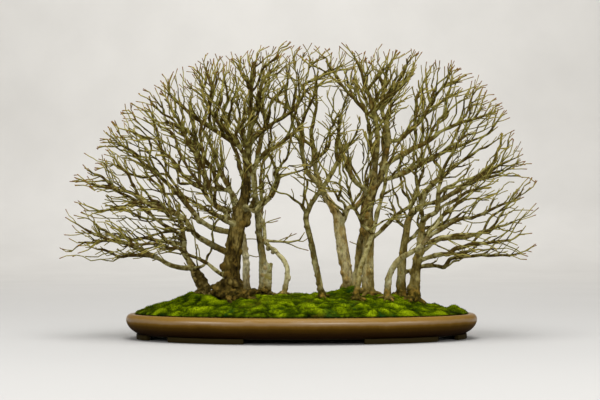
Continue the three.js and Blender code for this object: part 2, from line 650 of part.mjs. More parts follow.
function growTwigs(targets, spacing, kill) {
  let firstNew = 0;
  let live = targets;
  for (let round = 0; round < growthRounds && live.length > 0; round += 1) {
    for (let k = firstNew; k < knots.length; k += 1) knots[k].way = outward(knots[k]);
    for (const target of live) {
      for (let k = firstNew; k < knots.length; k += 1) {
        const dx = target.x - knots[k].x;
        const dy = target.y - knots[k].y;
        const dz = target.z - knots[k].z;
        const square = dx * dx + dy * dy + dz * dz;
        if (square >= target.square) continue;
        const { way } = knots[k];
        const ahead = dx * way[0] + dy * way[1] + dz * way[2];
        if (ahead > sideways * Math.sqrt(square) || square < kill * kill) {
          target.square = square;
          target.near = knots[k];
        }
      }
    }
    firstNew = knots.length;
    live = live.filter((target) => target.square > kill * kill);
    const pulls = new Map();
    for (const target of live) {
      if (!target.near) continue;
      const pull = pulls.get(target.near) || [0, 0, 0];
      const distance = Math.sqrt(target.square);
      pull[0] += (target.x - target.near.x) / distance;
      pull[1] += (target.y - target.near.y) / distance;
      pull[2] += (target.z - target.near.z) / distance;
      pulls.set(target.near, pull);
    }
    for (const [knot, pull] of pulls) {
      const point = nextPoint(knot, pull, spacing);
      const hasRoom = knot.children.length < mostForks;
      if (hasRoom && isClear(knot, point)) addKnot(knot.tree, knot, point, 0);
    }
    if (knots.length === firstNew) break;
  }
}

function unit(vector) {
  const length = Math.sqrt(vector[0] * vector[0] + vector[1] * vector[1] + vector[2] * vector[2]);
  return vector.map((value) => value / (length || 1));
}

function nextPoint(knot, pull, spacing) {
  const wish = unit(pull);
  const from = knot.parent || knot;
  const along = unit([knot.x - from.x, knot.y - from.y, knot.z - from.z]);
  const keep = knot.children.length > 0 ? forkPull : mainPull;
  const heading = unit(wish.map(
    (value, axis) => value + keep * along[axis] + outwardPull * knot.way[axis],
  ));
  return [knot.x + spacing * heading[0], knot.y + spacing * heading[1],
    knot.z + spacing * heading[2]];
}

// Thickness: a twig is as thick as the twigs that it carries ask for, and never thicker than
// what carries it. Laid limbs keep their own radius.
function thicken() {
  for (let k = knots.length - 1; k >= 0; k -= 1) {
    const knot = knots[k];
    let carried = 0;
    for (const child of knot.children) carried += child.radius ** pipeExponent;
    const grown = Math.max(twigTipRadius, carried ** (1 / pipeExponent));
    knot.radius = knot.laidRadius || grown;
  }
  for (const knot of knots) {
    if (knot.laidRadius) continue;
    knot.radius = Math.min(knot.radius, Math.max(knotTaper * knot.parent.radius, thinnest));
  }
}

// A tree's wood as runs: each run follows the thickest child, and the others start new runs.
function splitRuns(root) {
  const runs = [];
  const open = [{ fork: null, knot: root }];
  while (open.length > 0) {
    const { fork, knot } = open.shift();
    const run = { fork, knots: [] };
    let current = knot;
    while (current) {
      run.knots.push(current);
      const [main, ...sides] = [...current.children].sort((a, b) => b.radius - a.radius);
      for (const side of sides) open.push({ fork: { run, knot: current }, knot: side });
      current = main;
    }
    runs.push(run);
  }
  return runs;
}

// Leaves out the knots of a run that a straight line between its neighbours already passes.
function straighten(rows) {
  const kept = [rows[0]];
  let start = 0;
  for (let end = 2; end < rows.length; end += 1) {
    const from = rows[start];
    const to = rows[end];
    const chord = new THREE.Line3(new THREE.Vector3(...from), new THREE.Vector3(...to));
    const isStraight = rows.slice(start + 1, end).every((row) => {
      const point = new THREE.Vector3(row[0], row[1], row[2]);
      const nearest = chord.closestPointToPoint(point, true, new THREE.Vector3());
      const allowed = row[3] < thinWood ? thinSlack : slack + slackOfRadius * row[3];
      return nearest.distanceTo(point) < allowed;
    });
    if (!isStraight || chord.distance() > longestPiece) {
      kept.push(rows[end - 1]);
      start = end - 1;
    }
  }
  kept.push(rows[rows.length - 1]);
  return kept;
}

// The point of a run's path nearest to where a side twig leaves it.
function pointOnPath(path, point) {
  let best = null;
  for (let k = 0; k + 1 < path.length; k += 1) {
    const span = new THREE.Line3(new THREE.Vector3(...path[k]), new THREE.Vector3(...path[k + 1]));
    const nearest = span.closestPointToPoint(point, true, new THREE.Vector3());
    const distance = nearest.distanceTo(point);
    if (!best || distance < best.distance) {
      const share = span.closestPointToPointParameter(point, true);
      const radius = path[k][3] + share * (path[k + 1][3] - path[k][3]);
      best = { distance, point: nearest, radius };
    }
  }
  return best;
}

function twigSolid(run) {
  let rows = run.knots.map((knot) => [knot.x, knot.y, knot.z, knot.radius]);
  if (run.fork) {
    const fork = run.fork.knot;
    const seat = pointOnPath(run.fork.run.path, new THREE.Vector3(fork.x, fork.y, fork.z));
    const seatRadius = Math.min(rows[0][3], seatShare * seat.radius);
    rows = [[seat.point.x, seat.point.y, seat.point.z, seatRadius], ...rows];
  }
  if (rows.length > 2) rows = straighten(rows);
  if (!run.fork) rows = withFoot(rows);
  run.path = rows;
  return woodTube(rows, woodSides(rows[1][3]), true);
}

function makeTree(name, seed) {
  const trunk = treeLimbs[name][0];
  const root = knots.find((knot) => knot.tree === name);
  const pieces = splitRuns(root).map(twigSolid);
  pieces.push(...surfaceRoots(trunk, 0, seed));
  if (name === twinStem.tree) {
    pieces.push(woodTube(withFoot(twinStem.rows), woodSides(twinStem.rows[0][3]), false));
  }
  const wood = pieces.reduce((joined, piece) => joined.add(piece));
  return toMesh(name, wood, barkColours[name], 0.85);
}

// Moss and soil, with the holes that the trunks and surface roots stand in
function treeHoles() {
  const rootHoles = Object.values(treeLimbs).flatMap(
    (limbs, index) => surfaceRoots(limbs[0], 2 * gap, index + 1),
  );
  return [...trunkPaths.map(trunkHole), ...rootHoles];
}

function makeMoss(holes) {
  const base = trayFloorTop;
  const profile = [[trayHalfLength, base], [mossInsets[0], base]];
  profile.push(...mossInsets.map((inset) => [inset, mossHeight]));
  const underside = (x, y) => soilHeight(x, y) + 1.2 * gap;
  const room = [[trayHalfLength, 0], [0, 0], [0, underside]];
  room.push(...soilInsets.map((inset) => [inset, underside]));
  const carpet = ovalBody(profile).subtract(ovalBody(room));
  const moss = holes.reduce((body, hole) => body.subtract(hole), carpet);
  return toMesh('moss', moss, 0x7c8a3c, 0.95);
}

function makeSoil(holes) {
  const wall = 2 * gap;
  const floor = trayFloorTop + gap;
  const [, ...side] = innerWall;
  const inner = side.map(([inset, height]) => [inset + wall, height + gap]).reverse();
  const profile = [[trayHalfLength, floor], ...inner];
  profile.push(...soilInsets.map((inset) => [inset, soilHeight]));
  let soil = holes.reduce((body, hole) => body.subtract(hole), ovalBody(profile));
  for (const sideX of [-1, 1]) {
    const room = screenSide + 2 * gap;
    const pocket = new THREE.BoxGeometry(room, room, 2 * (screenThickness + 2 * gap));
    pocket.translate(sideX * drainHoleX, 0, floor - 0.1);
    soil = soil.subtract(toSolid(pocket));
  }
  return toMesh('soil', soil, 0x4a3a2a, 1);
}

// The whole planting
const planting = new THREE.Group();
for (const [name, limbs] of Object.entries(treeLimbs)) {
  limbs.forEach((rows, index) => layLimb(name, rows, index === 0));
}
growTwigs(scatterTargets(targetCount, 20931), knotSpacing, targetKill);
thicken();

const trees = Object.keys(treeLimbs).map((name, index) => makeTree(name, index + 1));
const holes = treeHoles();
planting.add(makeTray());
planting.add(makeScreen('drain_screen_left', -drainHoleX));
planting.add(makeScreen('drain_screen_right', drainHoleX));
planting.add(makeSoil(holes));
planting.add(makeMoss(holes));
planting.add(...trees);

export default planting;
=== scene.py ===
import json
import math

import bmesh
import bpy
import numpy as np
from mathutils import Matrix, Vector, kdtree, noise

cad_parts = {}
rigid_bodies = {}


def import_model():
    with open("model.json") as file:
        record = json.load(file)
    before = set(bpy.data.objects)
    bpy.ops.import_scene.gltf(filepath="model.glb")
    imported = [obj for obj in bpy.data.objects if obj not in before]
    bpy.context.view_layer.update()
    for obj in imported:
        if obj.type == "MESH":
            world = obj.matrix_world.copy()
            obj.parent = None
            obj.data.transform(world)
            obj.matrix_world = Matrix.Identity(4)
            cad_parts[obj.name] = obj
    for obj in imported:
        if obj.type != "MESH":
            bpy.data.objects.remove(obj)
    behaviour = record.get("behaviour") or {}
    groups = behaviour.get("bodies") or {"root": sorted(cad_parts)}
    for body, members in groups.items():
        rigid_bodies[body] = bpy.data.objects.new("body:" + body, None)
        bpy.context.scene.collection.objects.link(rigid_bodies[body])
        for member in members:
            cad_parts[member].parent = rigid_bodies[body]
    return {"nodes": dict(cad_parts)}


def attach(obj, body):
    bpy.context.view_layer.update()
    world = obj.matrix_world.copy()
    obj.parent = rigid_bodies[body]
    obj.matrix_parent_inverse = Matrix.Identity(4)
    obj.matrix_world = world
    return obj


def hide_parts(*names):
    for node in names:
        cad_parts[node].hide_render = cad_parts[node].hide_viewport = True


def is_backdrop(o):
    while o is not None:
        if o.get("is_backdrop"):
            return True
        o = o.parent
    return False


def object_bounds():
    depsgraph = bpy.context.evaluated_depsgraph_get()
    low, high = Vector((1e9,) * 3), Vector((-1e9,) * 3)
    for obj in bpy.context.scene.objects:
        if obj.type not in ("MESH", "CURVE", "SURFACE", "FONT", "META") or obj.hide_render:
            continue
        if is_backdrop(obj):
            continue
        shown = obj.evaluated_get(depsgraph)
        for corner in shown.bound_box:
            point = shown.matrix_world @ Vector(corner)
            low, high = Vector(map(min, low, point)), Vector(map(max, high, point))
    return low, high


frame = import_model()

# A group planting of twelve trident maples in a long oval tray, in winter, without leaves.
# Sizes are in millimetres, and MM makes them metres. The frame's box, the studio and the sizes
# in the panel are in metres.

bl_info = {
    "name": "Trident maple group planting",
    "version": (1, 0, 0),
    "blender": (4, 5, 0),
    "location": "3D View > Sidebar > Planting",
    "description": "Builds a bonsai group of leafless trident maples in a mossy oval tray",
    "category": "Object",
}

CAD_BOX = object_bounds()
MM = 0.001

# The seeds of what is random: the noise that bends and dents things, the points that the main
# twigs and the fine twigs grow to, and the shoots of moss
NOISE_SEED = 7
MAIN_SEED = 20931
FINE_SEED = 4711
SHOOT_SEED = 5

# The tray: an oval with a rolled lip. A wall row is [inset from the rim, height].
TRAY_HALF_LENGTH = 350
TRAY_HALF_WIDTH = 180
TRAY_HEIGHT = 50
FLOOR_UNDERSIDE = 8
FLOOR_TOP = 15
LIP_INSET = 16
EVEN_INSET = 44
OUTER_WALL = [[34, 8], [27, 9.5], [19, 13], [12, 17.6], [7, 22.4], [3.4, 27.6], [1, 33], [0, 38],
    [0.4, 41.5], [1.8, 44.8], [4.2, 47.8], [7.4, 49.6]]
INNER_WALL = [[10.5, 50], [13.4, 49.7], [LIP_INSET, 48.4], [17.4, 45.6], [18, 40], [20, 33],
    [24, 26], [29, 19.5], [36, FLOOR_TOP]]
FOOT_INSET = 27
FOOT_WIDTH = 13
FOOT_END_WIDTH = 7.8
LONG_FOOT = (110, 252)
END_FOOT_HALF_WIDTH = 60
FOOT_STEPS = 12
FOOT_SINK = 2
FOOT_BEVEL = 1.2
DRAIN_X = 150
DRAIN_RADIUS = 11
DRAIN_SIDES = 40
SHARP_ANGLE = 32

# The mound. A hill is [x, y, rise, width].
MOUND_RISE = 40
MOUND_EDGE = TRAY_HEIGHT - 1
HILLS = [[-206, 10, 7, 40], [100, 40, 6, 45], [290, 0, -9, 36]]

# The moss: cushions as [width, depth, rise, weight of their crests], how wide they are across
# as a share of their spacing, [span, distance] of their wander, [size, rise] of the tufts on
# them, and hummocks round the trunks as [x, y, rise, width]
CUSHIONS = [[42, 25, 8, 0.66], [15, 10, 2.4, 0.4]]
CUSHION_REACH = 0.85
CREST_REACH = 0.9
CUSHION_WANDER = [21, 9]
CUSHION_FULLNESS = [0.8, 0.5]
# The crest value paints light on the crests and shade between them, and sets shoot height.
CREST_BASE = 0.16
CUSHION_SINK = 8.2
CUSHION_SEAM = 0.3
TUFTS = [2.4, 0.5]
DEEPEST_HOLLOW = 4.3
MOSS_EDGE = 0.8
MOSS_EDGE_RISE = -1
MOSS_EDGE_SLOPE = 8
MOSS_THICKNESS = 5.4
UNDERSIDE_SCALE = 0.985
HUMMOCKS = [[104, 34, 13, 17], [76, 16, 5, 16], [-222, -16, 10, 18], [-190, -44, 7, 14],
    [306, -4, 8, 12], [186, -20, 4, 14], [262, -20, 7, 12]]

# The single shoots of moss: the radius of their foot, their least and greatest height, how that
# grows with the crest, how they lean, and how deep they stand
SHOOT_RADIUS = 0.8
SHOOT_HEIGHT = (1.6, 3.6)
SHOOT_GROWTH = (0.5, 0.6)
SHOOT_LEAN = 0.35
SHOOT_DEPTH = 0.6
SHOOT_MARGIN = 4
SLOPE_STEP = 2
SLOPE_RUN = 3

# The crown that the twigs fill
CROWN = {"x": -8, "z": 190, "half_width": 474, "half_depth": 190, "height": 402}
RIGHT_CROWN = {"x": 190, "z": 262, "half_width": 280, "half_depth": 172, "height": 322}
CLEAR_TRUNK_HEIGHT = 110
CLEAR_TRUNK_REACH = 270
LOWEST_TWIG = 148
HEART_HEIGHT = 110

# The clear openings between the limbs, seen from the front, as rows of
# [x, z, half length, half height, turn in degrees], and the share of targets left in them
OPENINGS = [[-30, 352, 27, 27, 0], [-26, 276, 32, 42, 0], [50, 344, 16, 28, 0],
    [68, 466, 30, 24, 0], [110, 444, 14, 22, 0], [92, 284, 24, 28, 0], [115, 338, 18, 22, 0],
    [-26, 424, 16, 14, 0], [236, 320, 32, 20, 30], [286, 184, 38, 15, 8],
    [-270, 262, 38, 14, -40]]
OPENING_KEPT = 0.06

# The fine twigs stand thinner low in the crown: the share kept there, and the heights between
# which it grows to all of them
FINE_KEPT = 0.3
FINE_RISE = [170, 590]

# Parts of the crown with few fine twigs, as [x, z, half width, half height, share kept]. Where
# they overlap, the shares multiply.
THIN_PARTS = [[300, 320, 190, 140, 0.5], [40, 380, 120, 110, 0.75], [-280, 415, 60, 42, 0.5],
    [-340, 190, 55, 32, 0.5], [356, 236, 50, 30, 0.4], [116, 436, 20, 24, 0.1],
    [-44, 436, 26, 26, 0.1], [36, 436, 36, 52, 0.35], [296, 400, 64, 82, 0.55],
    [-204, 336, 44, 42, 0.5], [116, 436, 34, 40, 0.5], [-244, 306, 70, 60, 0.7],
    [-306, 332, 50, 48, 0.6], [264, 500, 40, 50, 0.65], [262, 240, 50, 60, 0.6],
    [-376, 316, 52, 34, 0.6], [-84, 336, 26, 42, 0.5], [-440, 276, 30, 26, 0.5]]

# Trunks that show through the crown, as [x, z, half width, half height], and how many of the
# fine twigs stand in front of them
SHOWN_TRUNKS = [[-120, 290, 34, 120], [145, 290, 34, 90], [90, 270, 28, 50]]
IN_FRONT_KEPT = 0.12

# How twigs grow. The main ones, which the solids have too, start from all laid wood, and the
# fine ones from wood that is thin enough to sprout. CHUNK is how many distances are worked out
# at a time.
MOST_KNOTS = 60000
MAIN_TARGETS = 1900
MAIN_REACH = 150
MAIN_STEP = 18
MAIN_SPREAD = 26
FINE_REACH = 70
SPROUTS_BELOW = 5.5
GROWTH_ROUNDS = 60
CHUNK = 2000000
CORE_SCALE = 0.55
CORE_KEPT = 0.35
SIDEWAYS = 0.3
MAIN_PULL = 0.9
FORK_PULL = 0.3
OUTWARD_PULL = 0.5
OUTWARD_RISE = 0.55
MOST_FORKS = 4
NEARBY = 40
TREE_CLEARANCE = 6
TWIG_CLEARANCE = 7
TWIN_CLEARANCE = 0.5

# The camera at the photograph's place: how far it turns right and looks up, in degrees
CAMERA_PLACE = (-66, -2535, 206)
CAMERA_TURN = -1.40
CAMERA_PITCH = 1.58
CAMERA_LENS = 76

# How wood is made solid. The thick wood is one skin, branches are round tubes and twigs square
# ones. A root row is [share of its length, height, radius] in trunk radii, and the three REACH
# values of old wood stand for its distance from a tip.
WOOD_ATTRIBUTES = ("thickness", "reach", "joint")
PIPE_EXPONENT = 2.55
KNOT_TAPER = 0.97
SIDE_TAPER = 0.72
WOBBLE_BELOW = 6.5
WOBBLE_EASE = 3
LAID_WOBBLE = 0.6
WOBBLES = [(15, 4.5), (48, 7)]
LIMB_SPACING = 18
SKIN_FROM = 4.2
SKIN_SIDES = 12
SKIN_SPACING = 4
SKIN_VOXEL = 1.6
SKIN_SOFTENING = 0.5
SKIN_SOFTENINGS = 3
SKIN_FROM_CORE = 0.8
SMALLEST_SKIN = 200
ROUND_FROM = 1.5
BRANCH_SIDES = 8
BRANCH_SPACING = 5
TWIG_SIDES = 4
SPRAY_SPACING = 6
MERGE_DISTANCE = 0.002
FORK_RADIUS = (0.7, 1.3)
KNUCKLE_SIZE = 1.2
BURY_DEPTH = 24
BURIED_SCALE = 0.8
BURIED_REACH = 999
TWIN_REACH = 400
ROOT_REACH = 300
RADIUS_PER_ROOT = 6
ROOT_COUNT = 4
ROOT_SHAPE = [[0.1, 1.1, 0.34], [0.5, 0.62, 0.34], [0.85, 0.2, 0.27], [1.25, -0.06, 0.2],
    [1.8, -0.6, 0.1]]
ROOT_LIFT = 0.55
ROOT_LENGTH = 1.4
OLD_ROOT_LENGTH = 0.75
ROOT_LENGTH_SPREAD = 0.8
ROOT_TURN_SPREAD = 0.6
ROOT_BEND = 0.5
OLD_TREE = "tree_02"
BUD_SHAPE = [[0.8, 1.2], [2.8, 0.2]]
BLUNT_SHAPE = [[0.25, 0.86], [0.5, 0.4]]
BLUNT_REACH = 60
BUD_REACH = 3
SPRAY_TAPER = 0.008
JOINT_SWELL = 0.34
BRANCH_SWELL = 0.2
BRANCH_SWELL_SIZE = 6
KNOT_EVERY = 4
KNOT_SIZE = [0.34, 0.26]
KNOT_OFFSET = 0.82
KNOT_STAIN = 1.2
INNER_CROWN = 0.9
INNER_DEPTH = 0.4
INNER_REACH = 9

# The relief of the thick wood: how deep it is, its lumps as [width, height, share of the
# radius], its cracks as [width, height] with the level that they are cut from, and the gnarls
# near the ground as [size, weight]
RELIEF = 0.9
OLD_RELIEF = 1.6
LUMP_NOISE = [[19, 24, 0.13], [8, 10, 0.09]]
CRACKS = [4.2, 17]
CRACK_LEVEL = 0.25
CRACK_MOST = 1.6
CRACK_RADIUS = 9
GNARL_NOISE = [[9, 1], [4, 0.5]]
GNARL = 2.4
GNARL_TOP = 122
GNARL_EASE = 26

# The studio: the side of its paper sweep as [y, z], half its width, the distances between which
# the floor turns grey with painted shade, and its lights as (name, place, aim, size, power), in
# metres and watts
SWEEP_HALF_WIDTH = 12
FLOOR_FADE = (4.8, 0.6)
WORLD_COLOUR = "#f2f0ec"
WORLD_STRENGTH = 0.55
SWEEP = [(-12, 0), (3.4, 0), (4, 0.03), (4.5, 0.16), (4.8, 0.4), (4.95, 0.9), (5, 6)]
LIGHTS = [
    ("overhead_softbox", (0, -0.7, 2.4), (0, 0, 0.25), (1.8, 1.8), 80),
    ("front_left", (-2.2, -2.6, 1.5), (0, 0, 0.3), (1.4, 1.4), 20),
    ("front_right", (2.4, -2.4, 1.3), (0, 0, 0.3), (1.4, 1.4), 13),
    ("front_window", (0.7, -3.4, 1.5), (0, 0, 0.1), (1.5, 0.9), 22),
    ("backdrop_light", (0, 2.6, 4), (0, 5, 1.1), (3.4, 3.4), 78),
]

# The trunk and the main limbs of each tree, as rows [x, y, z, radius]. The first limb is the
# trunk, and each other one leaves the wood nearest to its first row.
TREE_LIMBS = {
    "tree_01": [
        [[-195, 10, 85, 11.5], [-199, 10, 100, 10.5], [-213, 10, 124, 9], [-218, 10, 140, 7.5],
            [-234, 20, 168, 5.4], [-241, 34, 205, 3.8], [-249, 44, 239, 2.8]],
        [[-219, 10, 132, 5.5], [-255, 0, 142, 5], [-297, -8, 164, 4.2], [-350, -16, 187, 3],
            [-412, -24, 209, 2], [-456, -28, 232, 1.3]],
        [[-215, 8, 134, 3], [-195, -6, 145, 2.6], [-189, -14, 164, 2]],
    ],
    "tree_02": [
        [[-141, -30, 81, 23], [-139, -30, 101, 20], [-140, -30, 135, 18], [-137, -30, 166, 16.4],
            [-133, -30, 196, 15.6], [-126, -30, 242, 14.4], [-115, -30, 275, 10.8],
            [-111, -30, 305, 9.6], [-110, -26, 358, 7.4], [-106, -24, 390, 6],
            [-102, -20, 434, 4.4], [-104, -16, 474, 3.2], [-100, -12, 507, 2.2]],
        [[-155, -36, 117, 5], [-174, -50, 140, 4], [-204, -66, 161, 2.4]],
        [[-143, -34, 167, 7.6], [-178, -52, 187, 6.4], [-212, -64, 209, 5.2], [-228, -68, 231, 4.8],
            [-249, -70, 248, 4.2], [-291, -72, 261, 3.4], [-345, -66, 290, 2.4],
            [-400, -58, 303, 1.9], [-440, -50, 318, 1.3]],
        [[-137, -22, 204, 6.4], [-179, 0, 220, 5.6], [-217, 14, 250, 4.2], [-245, 20, 293, 3],
            [-274, 24, 333, 2.2]],
        [[-118, -26, 265, 5.6], [-134, -10, 276, 5.2], [-146, 10, 295, 4.8], [-207, 52, 305, 3.4],
            [-245, 66, 335, 2.5]],
        [[-131, -40, 224, 5.4], [-150, -58, 232, 4.9], [-150, -66, 249, 4.4], [-179, -84, 272, 3.7],
            [-217, -108, 327, 2.2]],
        [[-121, -38, 255, 5.8], [-103, -46, 259, 5.4], [-95, -52, 253, 5.2], [-63, -62, 281, 4.4],
            [-50, -66, 306, 4], [-46, -68, 319, 3.7], [-22, -72, 327, 2], [2, -78, 333, 1.4]],
        [[-47, -66, 317, 3], [-53, -76, 336, 2.3], [-65, -84, 363, 1.7]],
        [[-111, -28, 331, 4.8], [-72, -40, 367, 4], [-35, -46, 395, 3.2], [-10, -50, 413, 2.6],
            [6, -54, 443, 1.9]],
        [[-106, -24, 382, 4.6], [-84, -18, 409, 4], [-53, -14, 429, 3.3], [-15, -10, 459, 2.3],
            [2, -8, 487, 1.8]],
        [[-110, -26, 362, 5], [-130, -16, 385, 4.5], [-152, -4, 414, 3.7], [-176, 6, 445, 3],
            [-197, 14, 482, 2.2]],
        [[-130, -16, 385, 4], [-168, -24, 410, 3.4], [-215, -34, 442, 2.7], [-258, -40, 480, 2]],
        [[-225, 16, 268, 3.6], [-275, 4, 315, 3], [-322, -6, 356, 2.5], [-366, -10, 390, 1.8]],
        [[-112, -24, 299, 5], [-118, 14, 321, 4.3], [-125, 44, 348, 3.6], [-138, 72, 385, 2.8],
            [-155, 92, 424, 2]],
    ],
    "tree_03": [
        [[-112, 56, 85, 9], [-113, 56, 118, 7.8], [-113, 56, 145, 7.2], [-116, 58, 174, 6.6],
            [-121, 64, 212, 6], [-145, 94, 291, 4.6], [-164, 108, 333, 3.8], [-198, 124, 418, 2.1]],
        [[-128, 76, 245, 4.4], [-116, 96, 287, 3.7], [-108, 120, 330, 3], [-106, 136, 377, 2.2]],
        [[-123, 66, 220, 3.8], [-155, 86, 241, 3.2], [-189, 104, 254, 2.6], [-227, 116, 279, 2]],
    ],
    "tree_04": [
        [[-74, 14, 89, 12], [-74, 14, 107, 9.5], [-75, 14, 136, 8], [-84, 14, 196, 7],
            [-90, 16, 256, 6.3], [-96, 20, 317, 5.2], [-92, 22, 347, 4.7], [-84, 24, 386, 3.9],
            [-76, 26, 430, 3.1], [-78, 28, 475, 2.3]],
        [[-73, 12, 107, 6], [-65, 8, 130, 4.6], [-62, 6, 148, 3.6]],
        [[-92, 24, 337, 3.8], [-111, 52, 375, 3.1], [-124, 68, 418, 2.4], [-128, 80, 460, 1.8]],
    ],
    "tree_05": [
        [[-38, -10, 78, 5.6], [-30, -10, 117, 4.8], [-32, -6, 142, 4.4], [-37, 2, 155, 4.2],
            [-50, 22, 170, 4], [-63, 44, 178, 3.8], [-76, 66, 196, 3.6], [-80, 82, 229, 3.3],
            [-83, 94, 270, 2.9], [-82, 104, 316, 2.4], [-78, 112, 363, 1.9]],
        [[-74, 64, 190, 2.6], [-55, 58, 192, 2.3], [-26, 44, 189, 1.9], [-3, 34, 196, 1.5]],
    ],
    "tree_06": [
        [[39, -60, 79, 7], [34, -60, 107, 6.2], [26, -60, 143, 6], [18, -60, 183, 5.8],
            [6, -60, 236, 5.5], [10, -60, 254, 5.3], [22, -60, 275, 5], [37, -60, 294, 5],
            [49, -60, 316, 4.8], [59, -60, 333, 4.6], [69, -60, 351, 4.2], [91, -60, 382, 2.6],
            [104, -60, 392, 1.8]],
        [[7, -62, 245, 3.8], [-2, -68, 262, 3], [-9, -72, 268, 2.2]],
        [[69, -62, 352, 3.2], [64, -74, 377, 2.5], [68, -88, 414, 1.8]],
    ],
    "tree_07": [
        [[100, 90, 90, 11.5], [98, 90, 113, 9.8], [87, 90, 181, 8.7], [83, 92, 217, 8.1],
            [72, 95, 255, 7.1], [49, 100, 291, 5.6], [37, 100, 323, 5], [27, 96, 362, 4.3],
            [23, 92, 403, 3.6], [27, 86, 452, 2.8], [33, 80, 497, 2]],
        [[83, 90, 216, 4.4], [95, 80, 258, 3.6], [114, 84, 266, 3.2], [131, 96, 295, 2.7],
            [145, 108, 337, 2]],
        [[28, 96, 360, 3], [54, 106, 386, 2.5], [63, 112, 412, 2.1], [83, 118, 434, 1.7]],
        [[50, 98, 291, 5.2], [39, 82, 307, 5], [26, 76, 321, 4.9], [11, 70, 338, 4.7],
            [4, 66, 364, 4.9], [1, 62, 390, 4.4], [3, 60, 407, 3.8], [0, 58, 425, 3.2],
            [-9, 56, 446, 2.4]],
        [[71, 100, 254, 4.2], [48, 126, 292, 3.5], [34, 144, 332, 2.8], [32, 156, 378, 2]],
    ],
    "tree_08": [
        [[133, 16, 83, 15.5], [133, 16, 103, 13], [133, 16, 136, 11.8], [134, 12, 196, 11.5],
            [130, 8, 226, 13.4], [133, 6, 276, 12.8], [149, 6, 308, 9.6], [159, 8, 324, 7.6],
            [169, 12, 369, 6.6], [175, 14, 407, 5.8], [168, 16, 436, 5], [162, 16, 456, 4.5],
            [166, 18, 492, 3.5], [174, 20, 539, 2.3]],
        [[134, 2, 280, 7.4], [143, -2, 316, 7], [147, -8, 356, 6.1], [151, -14, 395, 5.3],
            [147, -20, 438, 4.6], [130, -24, 491, 3.1], [118, -26, 525, 2.3]],
        [[145, -22, 442, 3.6], [116, -28, 462, 3.2], [101, -32, 477, 2.8], [76, -36, 508, 2]],
        [[132, 0, 282, 5.4], [121, -12, 302, 5], [101, -22, 318, 4.5], [84, -32, 358, 3.5],
            [72, -36, 393, 2.7], [68, -38, 433, 2]],
        [[174, 16, 393, 4.9], [195, 20, 400, 4.4], [211, 24, 415, 4], [240, 28, 441, 3.4],
            [254, 30, 462, 2.9], [270, 32, 496, 2.1]],
        [[165, 6, 344, 5.2], [197, -10, 365, 4.4], [249, -28, 390, 3.4], [291, -38, 419, 2.7],
            [368, -48, 447, 1.7]],
        [[157, 12, 315, 5], [212, 36, 333, 4], [274, 52, 365, 3.1], [350, 62, 398, 2.1],
            [394, 64, 420, 1.6]],
        [[132, 0, 200, 4.4], [154, -14, 210, 3.8], [182, -38, 241, 2.9], [206, -46, 260, 2.3],
            [228, -44, 290, 1.8]],
        [[169, 14, 365, 4.6], [168, 44, 395, 3.9], [175, 70, 434, 3.1], [189, 88, 477, 2.2]],
        [[147, -14, 355, 4.2], [137, -44, 377, 3.6], [131, -68, 410, 2.9], [122, -84, 448, 2]],
    ],
    "tree_09": [
        [[102, -76, 76, 7.4], [107, -76, 111, 6.2], [113, -73, 143, 5.7], [130, -64, 193, 4.8],
            [139, -62, 224, 4.3], [150, -68, 259, 3.7], [157, -80, 293, 3.1], [163, -94, 331, 2.5],
            [176, -104, 369, 1.9]],
        [[133, -66, 204, 3], [114, -82, 231, 2.6], [97, -98, 262, 2.2], [83, -110, 300, 1.7]],
    ],
    "tree_10": [
        [[167, -50, 80, 6.2], [169, -50, 121, 5.2], [179, -54, 142, 4.8], [195, -62, 161, 4.4],
            [232, -86, 187, 3.4], [246, -96, 212, 2.8], [266, -106, 239, 2.3],
            [292, -112, 265, 1.8]],
        [[235, -88, 191, 2.6], [264, -102, 200, 2.2], [299, -112, 208, 1.8]],
    ],
    "tree_11": [
        [[202, 36, 80, 12], [202, 36, 103, 10], [203, 36, 129, 9.2], [207, 36, 173, 8.2],
            [219, 42, 239, 7], [228, 45, 254, 6.3], [249, 50, 272, 5.5], [256, 53, 294, 4.9],
            [280, 62, 319, 4.1], [307, 60, 338, 3.2], [349, 58, 372, 2.4], [387, 56, 391, 1.6]],
        [[281, 64, 320, 3.4], [288, 78, 342, 3], [271, 92, 369, 2.4], [262, 98, 404, 1.8]],
        [[206, 36, 125, 4.6], [233, 42, 137, 4.2], [260, 46, 144, 3.8], [290, 40, 143, 3.5],
            [301, 36, 155, 3.2], [324, 32, 162, 2.8], [378, 26, 166, 2.2], [432, 20, 168, 1.6]],
        [[233, 45, 259, 4.8], [255, 38, 269, 4.4], [280, 30, 273, 4], [319, 22, 297, 3.4],
            [359, 16, 321, 2.8], [398, 12, 347, 2]],
        [[217, 44, 228, 4.2], [228, 72, 266, 3.6], [243, 96, 304, 2.9], [258, 112, 346, 2.2]],
        [[209, 42, 196, 3.6], [241, 72, 212, 3.1], [281, 96, 225, 2.6], [325, 112, 242, 2]],
    ],
    "tree_12": [
        [[222, -22, 83, 13.5], [223, -22, 101, 11.5], [224, -22, 119, 10.4], [229, -20, 152, 9.2],
            [235, -18, 184, 8.4], [238, -18, 217, 7.1], [240, -20, 232, 6.4], [251, -26, 244, 5],
            [265, -34, 253, 4.3], [266, -42, 285, 3.6], [274, -48, 322, 2.9], [289, -54, 361, 2.1]],
        [[232, -20, 148, 4.8], [260, -34, 165, 4.2], [289, -44, 172, 3.7], [301, -50, 181, 3.4],
            [331, -58, 187, 2.9], [365, -64, 190, 2.3], [411, -70, 198, 1.6]],
        [[235, -10, 170, 4.8], [253, -4, 184, 4.4], [276, 0, 195, 4], [348, 6, 206, 3],
            [375, 8, 215, 2.6], [426, 10, 232, 1.7]],
        [[237, -10, 196, 4.6], [254, 2, 204, 4.2], [323, 28, 239, 3.2], [358, 38, 245, 2.7],
            [396, 46, 261, 2.2], [438, 52, 277, 1.6]],
        [[237, -26, 228, 4.2], [234, -46, 254, 3.6], [225, -68, 290, 2.9], [216, -84, 328, 2.1]],
